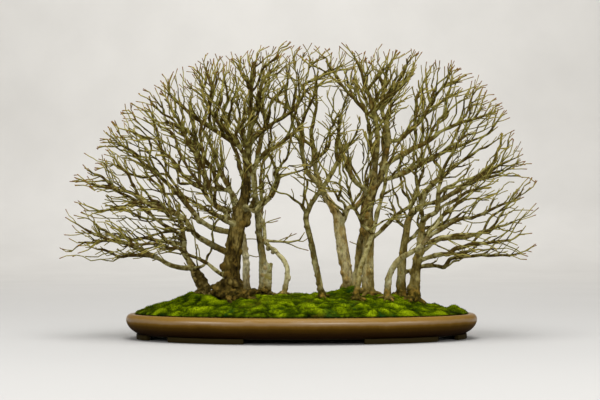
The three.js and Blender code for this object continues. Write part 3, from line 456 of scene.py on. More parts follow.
        [[235, -24, 192, 3.8], [252, -60, 220, 3.2], [276, -90, 247, 2.5], [304, -108, 273, 1.9]],
    ],
}

# The second stem of the twin trunk stands on its own roots and joins the first one higher up.
TWIN_STEM = {
    "tree": "tree_08",
    "rows": [[108, 46, 94, 10.5], [111, 46, 114, 9], [115, 43, 139, 8.2], [118, 36, 176, 7.8],
            [122, 24, 204, 7.4], [130, 10, 232, 7]],
}

# Short shoots on the clear trunks, each the points [x, y, z] that it passes
SPRAYS = {
    "tree_03": [[[-119, 60, 197], [-104, 56, 198], [-90, 54, 197]],
        [[-114, 57, 166], [-104, 60, 164], [-92, 62, 161], [-85, 64, 163]]],
    "tree_04": [[[-86, 10, 214], [-79, 6, 223], [-71, 2, 231], [-58, -2, 236], [-45, -4, 240]],
        [[-77, 5, 225], [-75, 8, 237], [-73, 10, 254]],
        [[-70, 2, 231], [-62, 8, 231], [-50, 12, 234]]],
    "tree_05": [[[-32, 47, 190], [-20, 40, 186], [-7, 36, 180], [12, 30, 175]],
        [[-7, 36, 194], [3, 32, 193], [12, 28, 199]],
        [[-37, 50, 190], [-31, 46, 199], [-22, 42, 204], [-12, 38, 208]],
        [[-31, 46, 197], [-26, 48, 202], [-21, 50, 208]],
        [[-50, 56, 192], [-42, 60, 196], [-30, 62, 201]]],
    "tree_08": [[[118, 26, 186], [108, 20, 188], [98, 16, 192]]],
}

# How much stouter than its limbs' rows a trunk is, fading out at a height
STOUTNESS = {"tree_05": 1.15, "tree_07": 1.3, "tree_10": 1.28}
STOUT_TOP = 380
STOUT_EASE = 120

# Swellings of old wood, each a ball [x, y, z, radius] that is grown into its trunk's skin
LUMPS = {
    "tree_01": [[-194, 10, 90, 14.5], [-195, 10, 98, 14.5], [-201, 10, 110, 13.5],
        [-207, 10, 122, 12], [-212, 10, 132, 9.5], [-184, 6, 87, 10], [-175, 2, 85, 7],
        [-208, 4, 88, 9]],
    "tree_03": [[-113, 54, 162, 7.4], [-112, 54, 148, 7.8]],
    "tree_02": [[-152, -36, 108, 14], [-160, -38, 104, 12.5], [-168, -40, 102, 9.5],
        [-175, -40, 103, 5.5], [-163, -44, 92, 12], [-150, -48, 90, 14], [-134, -52, 88, 13.5],
        [-146, -52, 99, 9], [-120, -46, 89, 12], [-126, -42, 102, 10], [-112, -38, 91, 9.5],
        [-103, -30, 92, 8], [-95, -22, 93, 7.5], [-87, -12, 94, 7], [-80, -2, 95, 7],
        [-158, -20, 96, 12], [-136, -14, 96, 13], [-170, -34, 92, 9], [-74, 4, 95, 7.5],
        [-70, 0, 96, 7], [-152, -50, 112, 8], [-142, -52, 114, 9], [-131, -50, 112, 8.5],
        [-108, -30, 246, 9], [-111, -30, 232, 9]],
    "tree_04": [*([-66, 10, z, 6.6] for z in range(90, 146, 7)),
        *([-71, 12, z, 7.5] for z in range(90, 140, 9)),
        *([-80, 14, z, 7.4] for z in range(88, 146, 8)), [-78, 14, 150, 9], [-67, 10, 143, 7.2]],
    "tree_05": [[-28, -10, 118, 5.6], [-26, -9, 122, 4.6], [-33, -4, 146, 4.9],
        [-58, 35, 171, 4.8], [-68, 50, 178, 5]],
    "tree_06": [[27, -60, 141, 6.3], [16, -60, 186, 6.2], [6, -60, 238, 6], [32, -60, 112, 6.8],
        [11, -60, 214, 5.8], [38, -60, 90, 8]],
    "tree_07": [[88 - 0.15 * (z - 150), 91, z, 11.4 - 0.024 * (z - 150)]
        for z in range(150, 256, 7)],
    "tree_12": [[219, -22, 90, 12], [218, -24, 100, 11]],
}

# The tones of young wood are the same on all trees. Those of trunks and limbs are not.
YOUNG_TONES = {"twig": "#87803f", "shoot": "#867b3c", "bud": "#704c1a"}
BARK_TONES = {
    "old": {"dark": "#1e1600", "brown": "#362a08", "grey": "#4f4319", "pale": "#7a6b3a",
        "algae": "#4c4a16", "joint": "#3c2e0c", "branch": "#656026", "foot": "#43380d",
        "rust": "#6a5520", "limb": "#756d3c", "limb_top": "#a49d6d"},
    "dark": {"dark": "#332a06", "brown": "#5b4e21", "grey": "#7a6f3e", "pale": "#9c9260",
        "algae": "#6a6b30", "joint": "#3f320e", "branch": "#6a642a", "foot": "#4a400f",
        "rust": "#7a6224", "limb": "#706838", "limb_top": "#9f9868"},
    "grey": {"dark": "#544718", "brown": "#85743f", "grey": "#968b57", "pale": "#b0a576",
        "algae": "#81834a", "joint": "#44370f", "branch": "#6e692e", "foot": "#645829",
        "rust": "#876a2c", "limb": "#7c7443", "limb_top": "#a8a172"},
    "pale": {"dark": "#6c5c28", "brown": "#9b834a", "grey": "#aea06b", "pale": "#c4b788",
        "algae": "#929457", "joint": "#4c3d14", "branch": "#736e31", "foot": "#6f6434",
        "rust": "#96783a", "limb": "#857d4b", "limb_top": "#b0a97a"},
}
BARK_TONES |= {
    "tan": {**BARK_TONES["old"], "grey": "#463a14", "pale": "#66572a", "foot": "#5c4e20",
        "rust": "#96844c"},
    "shaded": {**BARK_TONES["dark"], "grey": "#a09c6c", "pale": "#b8b385", "limb": "#4e4720",
        "limb_top": "#726b40"},
    "ashen": {**BARK_TONES["pale"], "brown": "#a3946a", "grey": "#b8b083", "pale": "#cfc7a2"},
    "lichen": {**BARK_TONES["grey"], "brown": "#857949", "grey": "#969167", "pale": "#b0ac8b",
        "algae": "#81884f"},
}

# Each tree's tones, and the heights between which mottled painted shade darkens its trunk
BARK_OF = {
    "tree_01": ("tan", 200, 300), "tree_02": ("old", 240, 320), "tree_03": ("ashen", 200, 300),
    "tree_04": ("lichen", 140, 190), "tree_05": ("ashen", 300, 400),
    "tree_06": ("shaded", 120, 165), "tree_07": ("pale", 270, 350), "tree_08": ("grey", 160, 230),
    "tree_09": ("dark", 200, 300), "tree_10": ("lichen", 200, 260), "tree_11": ("dark", 300, 400),
    "tree_12": ("dark", 300, 400),
}


def seeded_random(seed):
    """Repeatable random numbers from 0 to 1."""
    state = seed
    while True:
        state = state * 16807 % 2147483647
        yield state / 2147483647


def inside_lip(x, y):
    """1 in the middle of the oval inside the lip, falling to 0 at the lip."""
    along = x / (TRAY_HALF_LENGTH - LIP_INSET)
    across = y / (TRAY_HALF_WIDTH - LIP_INSET)
    return np.maximum(0, 1 - along * along - across * across)


def ground_height(x, y):
    """The mound: highest along the middle, with low hills under the heavy trunks."""
    inside = inside_lip(x, y)
    height = 0
    for middle_x, middle_y, rise, width in HILLS:
        square = (x - middle_x) ** 2 + (y - middle_y) ** 2
        height = height + rise * np.exp(-square / (2 * width * width))
    return MOUND_EDGE + MOUND_RISE * np.sqrt(inside) + height * np.minimum(1, 4 * inside)


def unit(x, y, z):
    """A direction one long. The same sums in the same order as the solids' own source."""
    length = math.sqrt(x * x + y * y + z * z) or 1
    return x / length, y / length, z / length


def smooth_row(before, start, end, after, share):
    """A row of one span of a smooth line through four neighbouring rows."""
    row = []
    for b, s, e, a in zip(before, start, end, after):
        leave = 0.5 * (e - b)
        arrive = 0.5 * (a - s)
        rise = e - s
        square = 3 * rise - 2 * leave - arrive
        cube = leave + arrive - 2 * rise
        row.append(s + share * (leave + share * (square + share * cube)))
    return row


def smooth_rows(rows, spacing):
    """The same line with more rows on it."""
    smooth = [rows[0]]
    for k in range(len(rows) - 1):
        start, end = rows[k], rows[k + 1]
        before, after = rows[max(0, k - 1)], rows[min(len(rows) - 1, k + 2)]
        steps = math.ceil(math.dist(start[:3], end[:3]) / spacing)
        smooth.extend(smooth_row(before, start, end, after, step / steps)
            for step in range(1, steps + 1))
    return smooth


class Skeleton:
    """The knots of all the wood, each with its tree, its parent knot and its place."""

    def __init__(self, room):
        self.count = 0
        self.tree = np.zeros(room, int)
        self.parent = np.full(room, -1)
        self.place = np.zeros((room, 3))
        self.start = np.zeros((room, 3))
        self.way = np.zeros((room, 3))
        self.laid = np.zeros(room)
        self.forks = np.zeros(room, int)
        self.hearts = [limbs[0][0][:2] for limbs in TREE_LIMBS.values()]

    def add(self, tree, parent, point, laid):
        """Adds one knot. Its radius is given where it is laid from listed rows, and is 0 where it
        grows.
        """
        knot = self.count
        heart_x, heart_y = self.hearts[tree]
        self.tree[knot] = tree
        self.parent[knot] = parent
        self.place[knot] = point
        self.start[knot] = point if parent < 0 else self.place[parent]
        self.way[knot] = unit(point[0] - heart_x, point[1] - heart_y,
            OUTWARD_RISE * (point[2] - HEART_HEIGHT))
        self.laid[knot] = laid
        if parent >= 0:
            self.forks[parent] += 1
        self.count += 1
        return knot

    def nearest(self, tree, point):
        """The knot of a tree that is nearest to a point."""
        dx, dy, dz = (self.place[:self.count] - point[:3]).T
        square = dx * dx + dy * dy + dz * dz
        square[self.tree[:self.count] != tree] = np.inf
        return int(np.argmin(square))

    def lay_limb(self, tree, rows, spacing, is_trunk):
        """Lays a limb along given rows [x, y, z, radius]."""
        if is_trunk:
            points = rows
            parent = self.add(tree, -1, rows[0][:3], rows[0][3])
        else:
            parent = self.nearest(tree, rows[0])
            points = [[*map(float, self.place[parent]), rows[0][3]], *rows[1:]]
        for row in smooth_rows(points, spacing)[1:]:
            parent = self.add(tree, parent, row[:3], row[3])

    def distance(self, point, knots):
        """How close a point comes to the wood between each knot and its parent."""
        ax, ay, az = (self.place[knots] - self.start[knots]).T
        px, py, pz = (np.array(point) - self.start[knots]).T
        length = ax * ax + ay * ay + az * az
        share = (px * ax + py * ay + pz * az) / np.where(length > 0, length, 1)
        share = np.where(length > 0, np.minimum(1, np.maximum(0, share)), 0)
        dx = px - share * ax
        dy = py - share * ay
        dz = pz - share * az
        return np.sqrt(dx * dx + dy * dy + dz * dz) - self.laid[knots]

    def is_clear(self, parent, point):
        """A new piece of twig may not come close to another tree, nor run along its own."""
        offset = np.abs(self.place[:self.count] - point)
        near = np.flatnonzero(np.all(offset <= NEARBY, axis=1))
        is_other = self.tree[near] != self.tree[parent]
        others = near[is_other]
        start = self.place[parent]
        middle = [(float(start[axis]) + point[axis]) / 2 for axis in range(3)]
        for sample in (point, middle):
            if len(others) and self.distance(sample, others).min() < TREE_CLEARANCE:
                return False
        own = near[~is_other]
        own = own[(own != parent) & (own != self.parent[parent])]
        return not (len(own) and self.distance(point, own).min() < TWIG_CLEARANCE)

    def has_twin(self, knot, point):
        """Whether a piece of twig already runs from a knot to this point."""
        ends = self.place[:self.count][self.parent[:self.count] == knot]
        return len(ends) > 0 and np.abs(ends - point).max(axis=1).min() < TWIN_CLEARANCE

    def next_point(self, knot, pull, spacing):
        """Where a twig goes next: to its targets, on along itself, and outwards."""
        wish = unit(*pull)
        here = [float(value) for value in self.place[knot]]
        start = [float(value) for value in self.start[knot]]
        along = unit(here[0] - start[0], here[1] - start[1], here[2] - start[2])
        keep = FORK_PULL if self.forks[knot] > 0 else MAIN_PULL
        way = self.way[knot]
        heading = unit(*(w + keep * a + OUTWARD_PULL * float(o)
            for w, a, o in zip(wish, along, way)))
        return [here[axis] + spacing * heading[axis] for axis in range(3)]

    def grow(self, targets, reach, spacing, spread, keeps_clear, may_sprout):
        """Grows twigs to the targets, each round by one knot from the knots nearest to them. A
        target is done with once a knot comes within the spread of it."""
        live = np.array(targets)
        best = np.full(len(live), float(reach * reach))
        near = np.full(len(live), -1)
        first = 0
        for _ in range(GROWTH_ROUNDS):
            if not len(live):
                break
            new = np.arange(first, self.count)
            new = new[may_sprout(new)]
            for chunk in np.array_split(np.arange(len(live)), 1 + len(live) * len(new) // CHUNK):
                dx, dy, dz = (live[chunk, None, axis] - self.place[None, new, axis]
                    for axis in range(3))
                wx, wy, wz = (self.way[None, new, axis] for axis in range(3))
                square = dx * dx + dy * dy + dz * dz
                ahead = dx * wx + dy * wy + dz * wz
                is_seen = (ahead > SIDEWAYS * np.sqrt(square)) | (square < spread * spread)
                square = np.where(is_seen, square, np.inf)
                nearest = np.argmin(square, axis=1)
                found = square[np.arange(len(chunk)), nearest]
                is_closer = found < best[chunk]
                best[chunk[is_closer]] = found[is_closer]
                near[chunk[is_closer]] = new[nearest[is_closer]]
            first = self.count
            is_live = best > spread * spread
            live, best, near = live[is_live], best[is_live], near[is_live]
            pulls = {}
            for target, square, knot in zip(live, best, near):
                if knot < 0:
                    continue
                pull = pulls.setdefault(int(knot), [0.0, 0.0, 0.0])
                distance = math.sqrt(square)
                for axis in range(3):
                    pull[axis] += (target[axis] - self.place[knot, axis]) / distance
            for knot, pull in pulls.items():
                point = self.next_point(knot, pull, spacing)
                if self.forks[knot] >= MOST_FORKS:
                    continue
                if self.is_clear(knot, point) if keeps_clear else not self.has_twin(knot, point):
                    self.add(self.tree[knot], knot, point, 0)
            if self.count == first:
                break


def in_crown(x, y, z, dome, scale=1):
    """Whether a point lies in a dome of the crown."""
    dx = (x - dome["x"]) / (dome["half_width"] * scale)
    dy = y / (dome["half_depth"] * scale)
    dz = (z - dome["z"]) / (dome["height"] * scale)
    return dx * dx + dy * dy + dz * dz <= 1


def in_opening(x, z):
    """Whether a point lies in a clear opening, seen from the front."""
    for middle_x, middle_z, half_length, half_height, turn in OPENINGS:
        angle = turn * math.pi / 180
        dx, dz = x - middle_x, z - middle_z
        along = (dx * math.cos(angle) + dz * math.sin(angle)) / half_length
        across = (dz * math.cos(angle) - dx * math.sin(angle)) / half_height
        if along * along + across * across < 1:
            return True
    return False


def thinning(x, y, z):
    """The share of fine twigs kept at a point."""
    kept = 1
    for middle_x, middle_z, half_width, half_height in SHOWN_TRUNKS:
        if ((x - middle_x) / half_width) ** 2 + ((z - middle_z) / half_height) ** 2 < 1 and y < 0:
            kept = IN_FRONT_KEPT
    for middle_x, middle_z, half_width, half_height, share in THIN_PARTS:
        if ((x - middle_x) / half_width) ** 2 + ((z - middle_z) / half_height) ** 2 < 1:
            kept *= share
    return kept


def lowest_at(x):
    """How low twigs hang, which is less low over the clear trunks in the middle."""
    share = x / CLEAR_TRUNK_REACH
    return LOWEST_TWIG + CLEAR_TRUNK_HEIGHT * max(0, 1 - share * share)


def scatter_targets(count, seed, low_kept=1):
    """Points that the twigs grow to, spread through the crown and thicker near its outside."""
    random = seeded_random(seed)
    top = CROWN["z"] + CROWN["height"]
    targets = []
    while len(targets) < count:
        x = CROWN["x"] + CROWN["half_width"] * (2 * next(random) - 1)
        y = CROWN["half_depth"] * (2 * next(random) - 1)
        z = LOWEST_TWIG + (top - LOWEST_TWIG) * next(random)
        keep = next(random)
        inside = in_crown(x, y, z, CROWN) or in_crown(x, y, z, RIGHT_CROWN)
        core_kept = CORE_KEPT if in_crown(x, y, z, CROWN, CORE_SCALE) else 1
        kept = OPENING_KEPT if in_opening(x, z) else core_kept
        if low_kept < 1:
            high = min(1, max(0, (z - FINE_RISE[0]) / (FINE_RISE[1] - FINE_RISE[0])))
            kept *= (low_kept + (1 - low_kept) * high) * thinning(x, y, z)
        if inside and z > lowest_at(x) and keep < kept:
            targets.append((x, y, z))
    return targets


def new_object(name, data):
    """An object that puts a mesh, a curve, a light or a camera into the scene."""
    made = bpy.data.objects.new(name, data)
    bpy.context.scene.collection.objects.link(made)
    return made


def link_piece(name, mesh, material, replaced=()):
    """Puts a finished mesh into the scene as a piece of the planting."""
    piece = new_object(name, mesh)
    mesh.materials.clear()
    mesh.materials.append(material)
    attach(piece, "root")
    if replaced:
        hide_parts(*replaced)


def order_faces(bm):
    """Sorts the faces, which spinning and extruding give in another order on each run."""
    bm.verts.index_update()
    count = len(bm.verts)

    def by_points(face):
        points = [vert.index for vert in face.verts]
        return count * min(points) + max(points)

    bm.faces.sort(key=by_points)


def mesh_from(bm, name):
    """A mesh made from a bmesh, which is freed."""
    mesh = bpy.data.meshes.new(name)
    bm.to_mesh(mesh)
    bm.free()
    return mesh


def evaluated_mesh(source):
    """The mesh of an object with its modifiers or its bevel applied."""
    depsgraph = bpy.context.evaluated_depsgraph_get()
    return bpy.data.meshes.new_from_object(source.evaluated_get(depsgraph), depsgraph=depsgraph)


def remove_helper(helper):
    """Removes an object and its data."""
    data = helper.data
    bpy.data.objects.remove(helper)
    kind = bpy.data.curves if isinstance(data, bpy.types.Curve) else bpy.data.meshes
    kind.remove(data)


def vertex_places(mesh):
    """The places of a mesh's points, one row each."""
    places = np.zeros(len(mesh.vertices) * 3, np.float32)
    mesh.vertices.foreach_get("co", places)
    return places.reshape(-1, 3)


def set_vertex_places(mesh, places):
    """Moves a mesh's points to the places in the rows."""
    mesh.vertices.foreach_set("co", places.astype(np.float32).ravel())
    mesh.update()


def set_attribute(mesh, name, values):
    """Sets a value at each point, for materials to read."""
    attribute = mesh.attributes.get(name) or mesh.attributes.new(name, "FLOAT", "POINT")
    attribute.data.foreach_set("value", np.asarray(values, np.float32))


def shade(mesh, sharp_angle=None):
    """Shades a mesh smooth, apart from edges sharper than an angle."""
    mesh.polygons.foreach_set("use_smooth", [True] * len(mesh.polygons))
    if sharp_angle is not None:
        mesh.set_sharp_from_angle(angle=math.radians(sharp_angle))
    mesh.update()


def oval_point(angle, inset):
    """A point of the oval, with the inset measured square to the rim."""
    cos, sin = math.cos(angle), math.sin(angle)
    normal_x, normal_y = TRAY_HALF_WIDTH * cos, TRAY_HALF_LENGTH * sin
    length = math.hypot(normal_x, normal_y)
    wall = min(inset, EVEN_INSET)
    x = TRAY_HALF_LENGTH * cos - wall * normal_x / length
    y = TRAY_HALF_WIDTH * sin - wall * normal_y / length
    shrink = (TRAY_HALF_LENGTH - inset) / (TRAY_HALF_LENGTH - wall)
    return x * shrink, y * shrink


def oval_mesh(name, rows, steps):
    """An oval body spun from profile rows [inset, height] and then moved on to the oval."""
    bm = bmesh.new()
    profile = [bm.verts.new((TRAY_HALF_LENGTH - inset, 0, height)) for inset, height in rows]
    edges = [bm.edges.new(pair) for pair in zip(profile, profile[1:])]
    bmesh.ops.spin(bm, geom=profile + edges, cent=(0, 0, 0), axis=(0, 0, 1), dvec=(0, 0, 0),
        angle=2 * math.pi, steps=steps, use_merge=True, use_duplicate=False)
    bmesh.ops.remove_doubles(bm, verts=bm.verts, dist=0.001)
    for vert in bm.verts:
        inset = TRAY_HALF_LENGTH - math.hypot(vert.co.x, vert.co.y)
        x, y = oval_point(math.atan2(vert.co.y, vert.co.x), inset)
        vert.co = Vector((x, y, vert.co.z)) * MM
    bmesh.ops.recalc_face_normals(bm, faces=bm.faces)
    order_faces(bm)
    return mesh_from(bm, name)


def foot_outlines():
    """The outlines of the six feet, each a strip that follows the oval."""
    places = []
    reach = TRAY_HALF_LENGTH - FOOT_INSET
    start, end = (math.acos(share / reach) for share in LONG_FOOT)
    half = math.asin(END_FOOT_HALF_WIDTH / (TRAY_HALF_WIDTH - FOOT_INSET))
    for side_x in (-1, 1):
        places.append((side_x, 1, -half, half))
        places.extend((side_x, side_y, start, end) for side_y in (-1, 1))
    for side_x, side_y, start, end in places:
        outer, inner = [], []
        for step in range(FOOT_STEPS + 1):
            share = step / FOOT_STEPS
            angle = start + (end - start) * share
            width = FOOT_WIDTH if 0 < step < FOOT_STEPS else FOOT_END_WIDTH
            for row, inset in ((outer, -width / 2), (inner, width / 2)):
                x, y = oval_point(angle, FOOT_INSET + inset)
                row.append((x * side_x * MM, y * side_y * MM, 0))
        yield outer + inner[::-1]


def make_feet():
    """The feet, bevelled where they meet the table."""
    bm = bmesh.new()
    for outline in foot_outlines():
        face = bm.faces.new([bm.verts.new(point) for point in outline])
        grown = bmesh.ops.extrude_face_region(bm, geom=[face])["geom"]
        top = [item for item in grown if isinstance(item, bmesh.types.BMVert)]
        bmesh.ops.translate(bm, verts=top, vec=(0, 0, (FLOOR_UNDERSIDE + FOOT_SINK) * MM))
    bmesh.ops.recalc_face_normals(bm, faces=bm.faces)
    rims = [edge for edge in bm.edges if all(vert.co.z < MM for vert in edge.verts)]
    bmesh.ops.bevel(bm, geom=rims, offset=FOOT_BEVEL * MM, offset_type="OFFSET", segments=2,
        profile=0.5, affect="EDGES", material=-1)
    return new_object("feet", mesh_from(bm, "feet"))


def make_drains():
    """The two round cutters of the drain holes."""
    bm = bmesh.new()
    for side in (-1, 1):
        made = bmesh.ops.create_cone(bm, cap_ends=True, segments=DRAIN_SIDES,
            radius1=DRAIN_RADIUS * MM, radius2=DRAIN_RADIUS * MM, depth=TRAY_HEIGHT * MM)
        bmesh.ops.translate(bm, verts=made["verts"], vec=(side * DRAIN_X * MM, 0, 0))
    return new_object("drains", mesh_from(bm, "drains"))


def make_tray_mesh(steps):
    """The tray: its oval body, joined with its feet and cut by its drain holes."""
    rows = [[TRAY_HALF_LENGTH, FLOOR_UNDERSIDE], *OUTER_WALL, *INNER_WALL,
        [TRAY_HALF_LENGTH, FLOOR_TOP]]
    body = new_object("body", oval_mesh("body", rows, steps))
    feet, drains = make_feet(), make_drains()
    for tool, operation in ((feet, "UNION"), (drains, "DIFFERENCE")):
        cut = body.modifiers.new(operation, "BOOLEAN")
        cut.object = tool
        cut.operation = operation
        cut.solver = "EXACT"
    mesh = evaluated_mesh(body)
    for helper in (body, feet, drains):
        remove_helper(helper)
    shade(mesh, SHARP_ANGLE)
    return mesh


def wood_thickness(wood, tip_radius):
    """Each knot's radius, and its distance from the farthest tip that it carries."""
    carried = np.zeros(wood.count)
    radius = np.zeros(wood.count)
    reach = np.zeros(wood.count)
    step = np.linalg.norm(wood.place - wood.start, axis=1)
    for k in range(wood.count - 1, -1, -1):
        radius[k] = wood.laid[k] or max(tip_radius, carried[k] ** (1 / PIPE_EXPONENT))
        parent = wood.parent[k]
        if parent >= 0:
            carried[parent] += radius[k] ** PIPE_EXPONENT
            reach[parent] = max(reach[parent], reach[k] + step[k])
    main = {}
    for k in range(wood.count):
        parent = wood.parent[k]
        if parent >= 0 and radius[k] + wood.laid[k] > main.get(parent, (0, 0))[0]:
            main[parent] = (radius[k] + wood.laid[k], k)
    for k in range(wood.count):
        if not wood.laid[k]:
            parent = wood.parent[k]
            taper = KNOT_TAPER if main[parent][1] == k else SIDE_TAPER
            radius[k] = min(radius[k], max(taper * radius[parent], tip_radius))
    return radius, reach


def stouten(wood, radius):
    """Makes some of the laid trunks stouter."""
    for tree, name in enumerate(TREE_LIMBS):
        knots = np.flatnonzero((wood.tree[:wood.count] == tree) & (wood.laid[:wood.count] > 0))
        fade = np.clip((STOUT_TOP - wood.place[knots, 2]) / STOUT_EASE, 0, 1)
        radius[knots] *= 1 + (STOUTNESS.get(name, 1) - 1) * fade


def split_runs(wood, radius):
    """The wood as runs of knots. A run follows the thickest child; the others start new runs."""
    children = [[] for _ in range(wood.count)]
    for k in range(wood.count):
        if wood.parent[k] >= 0:
            children[wood.parent[k]].append(k)
    runs = []
    starts = [(int(k), None) for k in np.flatnonzero(wood.parent[:wood.count] < 0)]
    while starts:
        knot, fork = starts.pop()
        run = [] if fork is None else [fork]
        while knot is not None:
            run.append(knot)
            ordered = sorted(children[knot], key=lambda child: -radius[child])
            starts.extend((side, knot) for side in ordered[1:])
            knot = ordered[0] if ordered else None
        runs.append((run, fork is not None))
    return runs


def tube_mesh(name, runs, sides):
    """Round tubes along runs of rows [x, y, z, radius, reach, joint], closed at both ends."""
    curve = bpy.data.curves.new(name, "CURVE")
    curve.dimensions = "3D"
    curve.bevel_depth = 1
    curve.bevel_resolution = sides // 2 - 2
    curve.use_fill_caps = True
    rows_of = [np.array(run) for run in runs]
    for rows in rows_of:
        spline = curve.splines.new("POLY")
        spline.points.add(len(rows) - 1)
        places = np.ones((len(rows), 4), np.float32)
        places[:, :3] = rows[:, :3] * MM
        spline.points.foreach_set("co", places.ravel())
        spline.points.foreach_set("radius", (rows[:, 3] * MM).astype(np.float32))
    tube = new_object(name, curve)
    mesh = evaluated_mesh(tube)
    remove_helper(tube)
    # The mesh lists all the end caps first, far end before near end, and then all the rings.
    ordered = [rows[[-1, 0]] for rows in rows_of] + rows_of
    values = np.repeat(np.concatenate(ordered)[:, 3:6], sides, axis=0)
    if len(values) != len(mesh.vertices):
        raise RuntimeError(f"{name} has {len(mesh.vertices)} points, not {len(values)}")
    for column, attribute in enumerate(WOOD_ATTRIBUTES):
        set_attribute(mesh, attribute, values[:, column])
    return mesh


def joined_mesh(name, meshes):
    """One mesh from several, each closed, with their doubled points merged."""
    bm = bmesh.new()
    for mesh in meshes:
        bm.from_mesh(mesh)
        bpy.data.meshes.remove(mesh)
    bmesh.ops.remove_doubles(bm, verts=bm.verts, dist=MERGE_DISTANCE * MM)
    return mesh_from(bm, name)


def root_rows(x, y, radius, random, least):
    """The surface roots of a trunk: each leaves its foot and dives under the moss."""
    count = round(ROOT_COUNT + radius / RADIUS_PER_ROOT)
    turn = next(random) * 2 * math.pi
    for k in range(count):
        angle = turn + (k + ROOT_TURN_SPREAD * next(random)) * 2 * math.pi / count
        length = radius * (least + ROOT_LENGTH_SPREAD * next(random))
        bend = ROOT_BEND * (next(random) - 0.5)
        rows = []
        for share, lift, size in ROOT_SHAPE:
            reach = share * length
            root_x = x + reach * math.cos(angle + bend * share)
            root_y = y + reach * math.sin(angle + bend * share)
            root_z = float(ground_height(root_x, root_y)) + lift * ROOT_LIFT * radius
            rows.append([root_x, root_y, root_z, size * radius, ROOT_REACH, 0])
        yield smooth_rows(rows, SKIN_SPACING)


def old_knots(runs, random):
    """Healed knots where shoots were cut off, as balls half sunk into the thick wood."""
    for run in runs:
        for x, y, z, radius in (row[:4] for row in run[::KNOT_EVERY]):
            angle = 2 * math.pi * next(random)
            size = radius * (KNOT_SIZE[0] + KNOT_SIZE[1] * next(random))
            far = radius * KNOT_OFFSET
            yield x + far * math.cos(angle), y + far * math.sin(angle), z, size


def tree_of(places):
    """A search tree over places."""
    tree = kdtree.KDTree(len(places))
    for k, place in enumerate(places):
        tree.insert(place[:3], k)
    tree.balance()
    return tree


def close_hollows(mesh):
    """Removes the small hollows that are shut in where roots fuse."""
    bm = bmesh.new()
    bm.from_mesh(mesh)
    left = set(bm.verts)
    while left:
        island = [left.pop()]
        for vert in island:
            near = {edge.other_vert(vert) for edge in vert.link_edges} & left
            left -= near
            island.extend(near)
        if len(island) < SMALLEST_SKIN:
            bmesh.ops.delete(bm, geom=island, context="VERTS")
    bm.to_mesh(mesh)
    bm.free()


def noise_at(place, width, height=None):
    """Smooth noise at a place, of a width and a height in mm."""
    x, y, z = place
    return noise.noise((x / width, y / width, z / (height or width)))


def fused_mesh(name, runs, balls):
    """Tubes along runs and balls [x, y, z, radius], fused into one smooth skin."""
    bm = bmesh.new()
    for x, y, z, radius in balls:
        made = bmesh.ops.create_icosphere(bm, subdivisions=2, radius=radius * MM)
        bmesh.ops.translate(bm, verts=made["verts"], vec=(x * MM, y * MM, z * MM))
    solids = [tube_mesh(name, runs, SKIN_SIDES), mesh_from(bm, name)]
    body = new_object(name, joined_mesh(name, solids))
    fuse = body.modifiers.new("fuse", "REMESH")
    fuse.mode = "VOXEL"
    fuse.voxel_size = SKIN_VOXEL * MM
    fuse.adaptivity = 0
    soften = body.modifiers.new("soften", "SMOOTH")
    soften.factor = SKIN_SOFTENING
    soften.iterations = SKIN_SOFTENINGS
    mesh = evaluated_mesh(body)
    remove_helper(body)
    close_hollows(mesh)
    return mesh


def trunk_skin(name, runs, roots, knuckles, knots):
    """The thick wood as one skin of tubes, knuckles and healed knots, with its bark's relief."""
    mesh = fused_mesh(name, runs + roots, knuckles + knots)
    relief = OLD_RELIEF if name == OLD_TREE else RELIEF
    rows = np.concatenate([np.array(run) for run in runs])
    row_tree, knot_tree = tree_of(rows), tree_of(knots)
    places = vertex_places(mesh) / MM
    normals = np.zeros(len(places) * 3, np.float32)
    mesh.vertex_normals.foreach_get("vector", normals)
    normals = normals.reshape(-1, 3)
    values = np.zeros((len(places), len(WOOD_ATTRIBUTES)))
    push = np.zeros(len(places))
    for k, place in enumerate(places):
        _, row, far = row_tree.find(place)
        _, knot, off = knot_tree.find(place)
        radius = max(rows[row, 3], SKIN_FROM_CORE * far)
        values[k] = radius, rows[row, 4], off < KNOT_STAIN * knots[knot][3]
        here = [float(value) for value in place]
        lump = sum(share * noise_at(here, width, height) for width, height, share in LUMP_NOISE)
        crack = abs(noise_at(here, *CRACKS)) - CRACK_LEVEL
        low = min(1, max(0, (GNARL_TOP - here[2]) / GNARL_EASE))
        gnarl = sum(weight * noise_at(here, size) for size, weight in GNARL_NOISE)
        push[k] = (lump * radius + relief * crack * min(CRACK_MOST, radius / CRACK_RADIUS)
            + low * relief * GNARL * gnarl)
    set_vertex_places(mesh, (places + normals * push[:, None]) * MM)
    for column, attribute in enumerate(WOOD_ATTRIBUTES):
        set_attribute(mesh, attribute, values[:, column])
    return mesh


def wobble(wood):
    """Bends the thin wood a little from knot to knot, as cut and regrown shoots are bent."""
    for k in range(wood.count):
        thin = min(1, max(0, (WOBBLE_BELOW - wood.laid[k]) / WOBBLE_EASE))
        share = LAID_WOBBLE * thin if wood.laid[k] else 1
        for span, most in WOBBLES:
            shift = noise.noise_vector([float(value) / span for value in wood.place[k]])
            wood.place[k] += share * most * np.array(shift)
    parents = wood.parent[:wood.count]
    starts = np.where(parents < 0, np.arange(wood.count), parents)
    wood.start[:wood.count] = wood.place[starts]


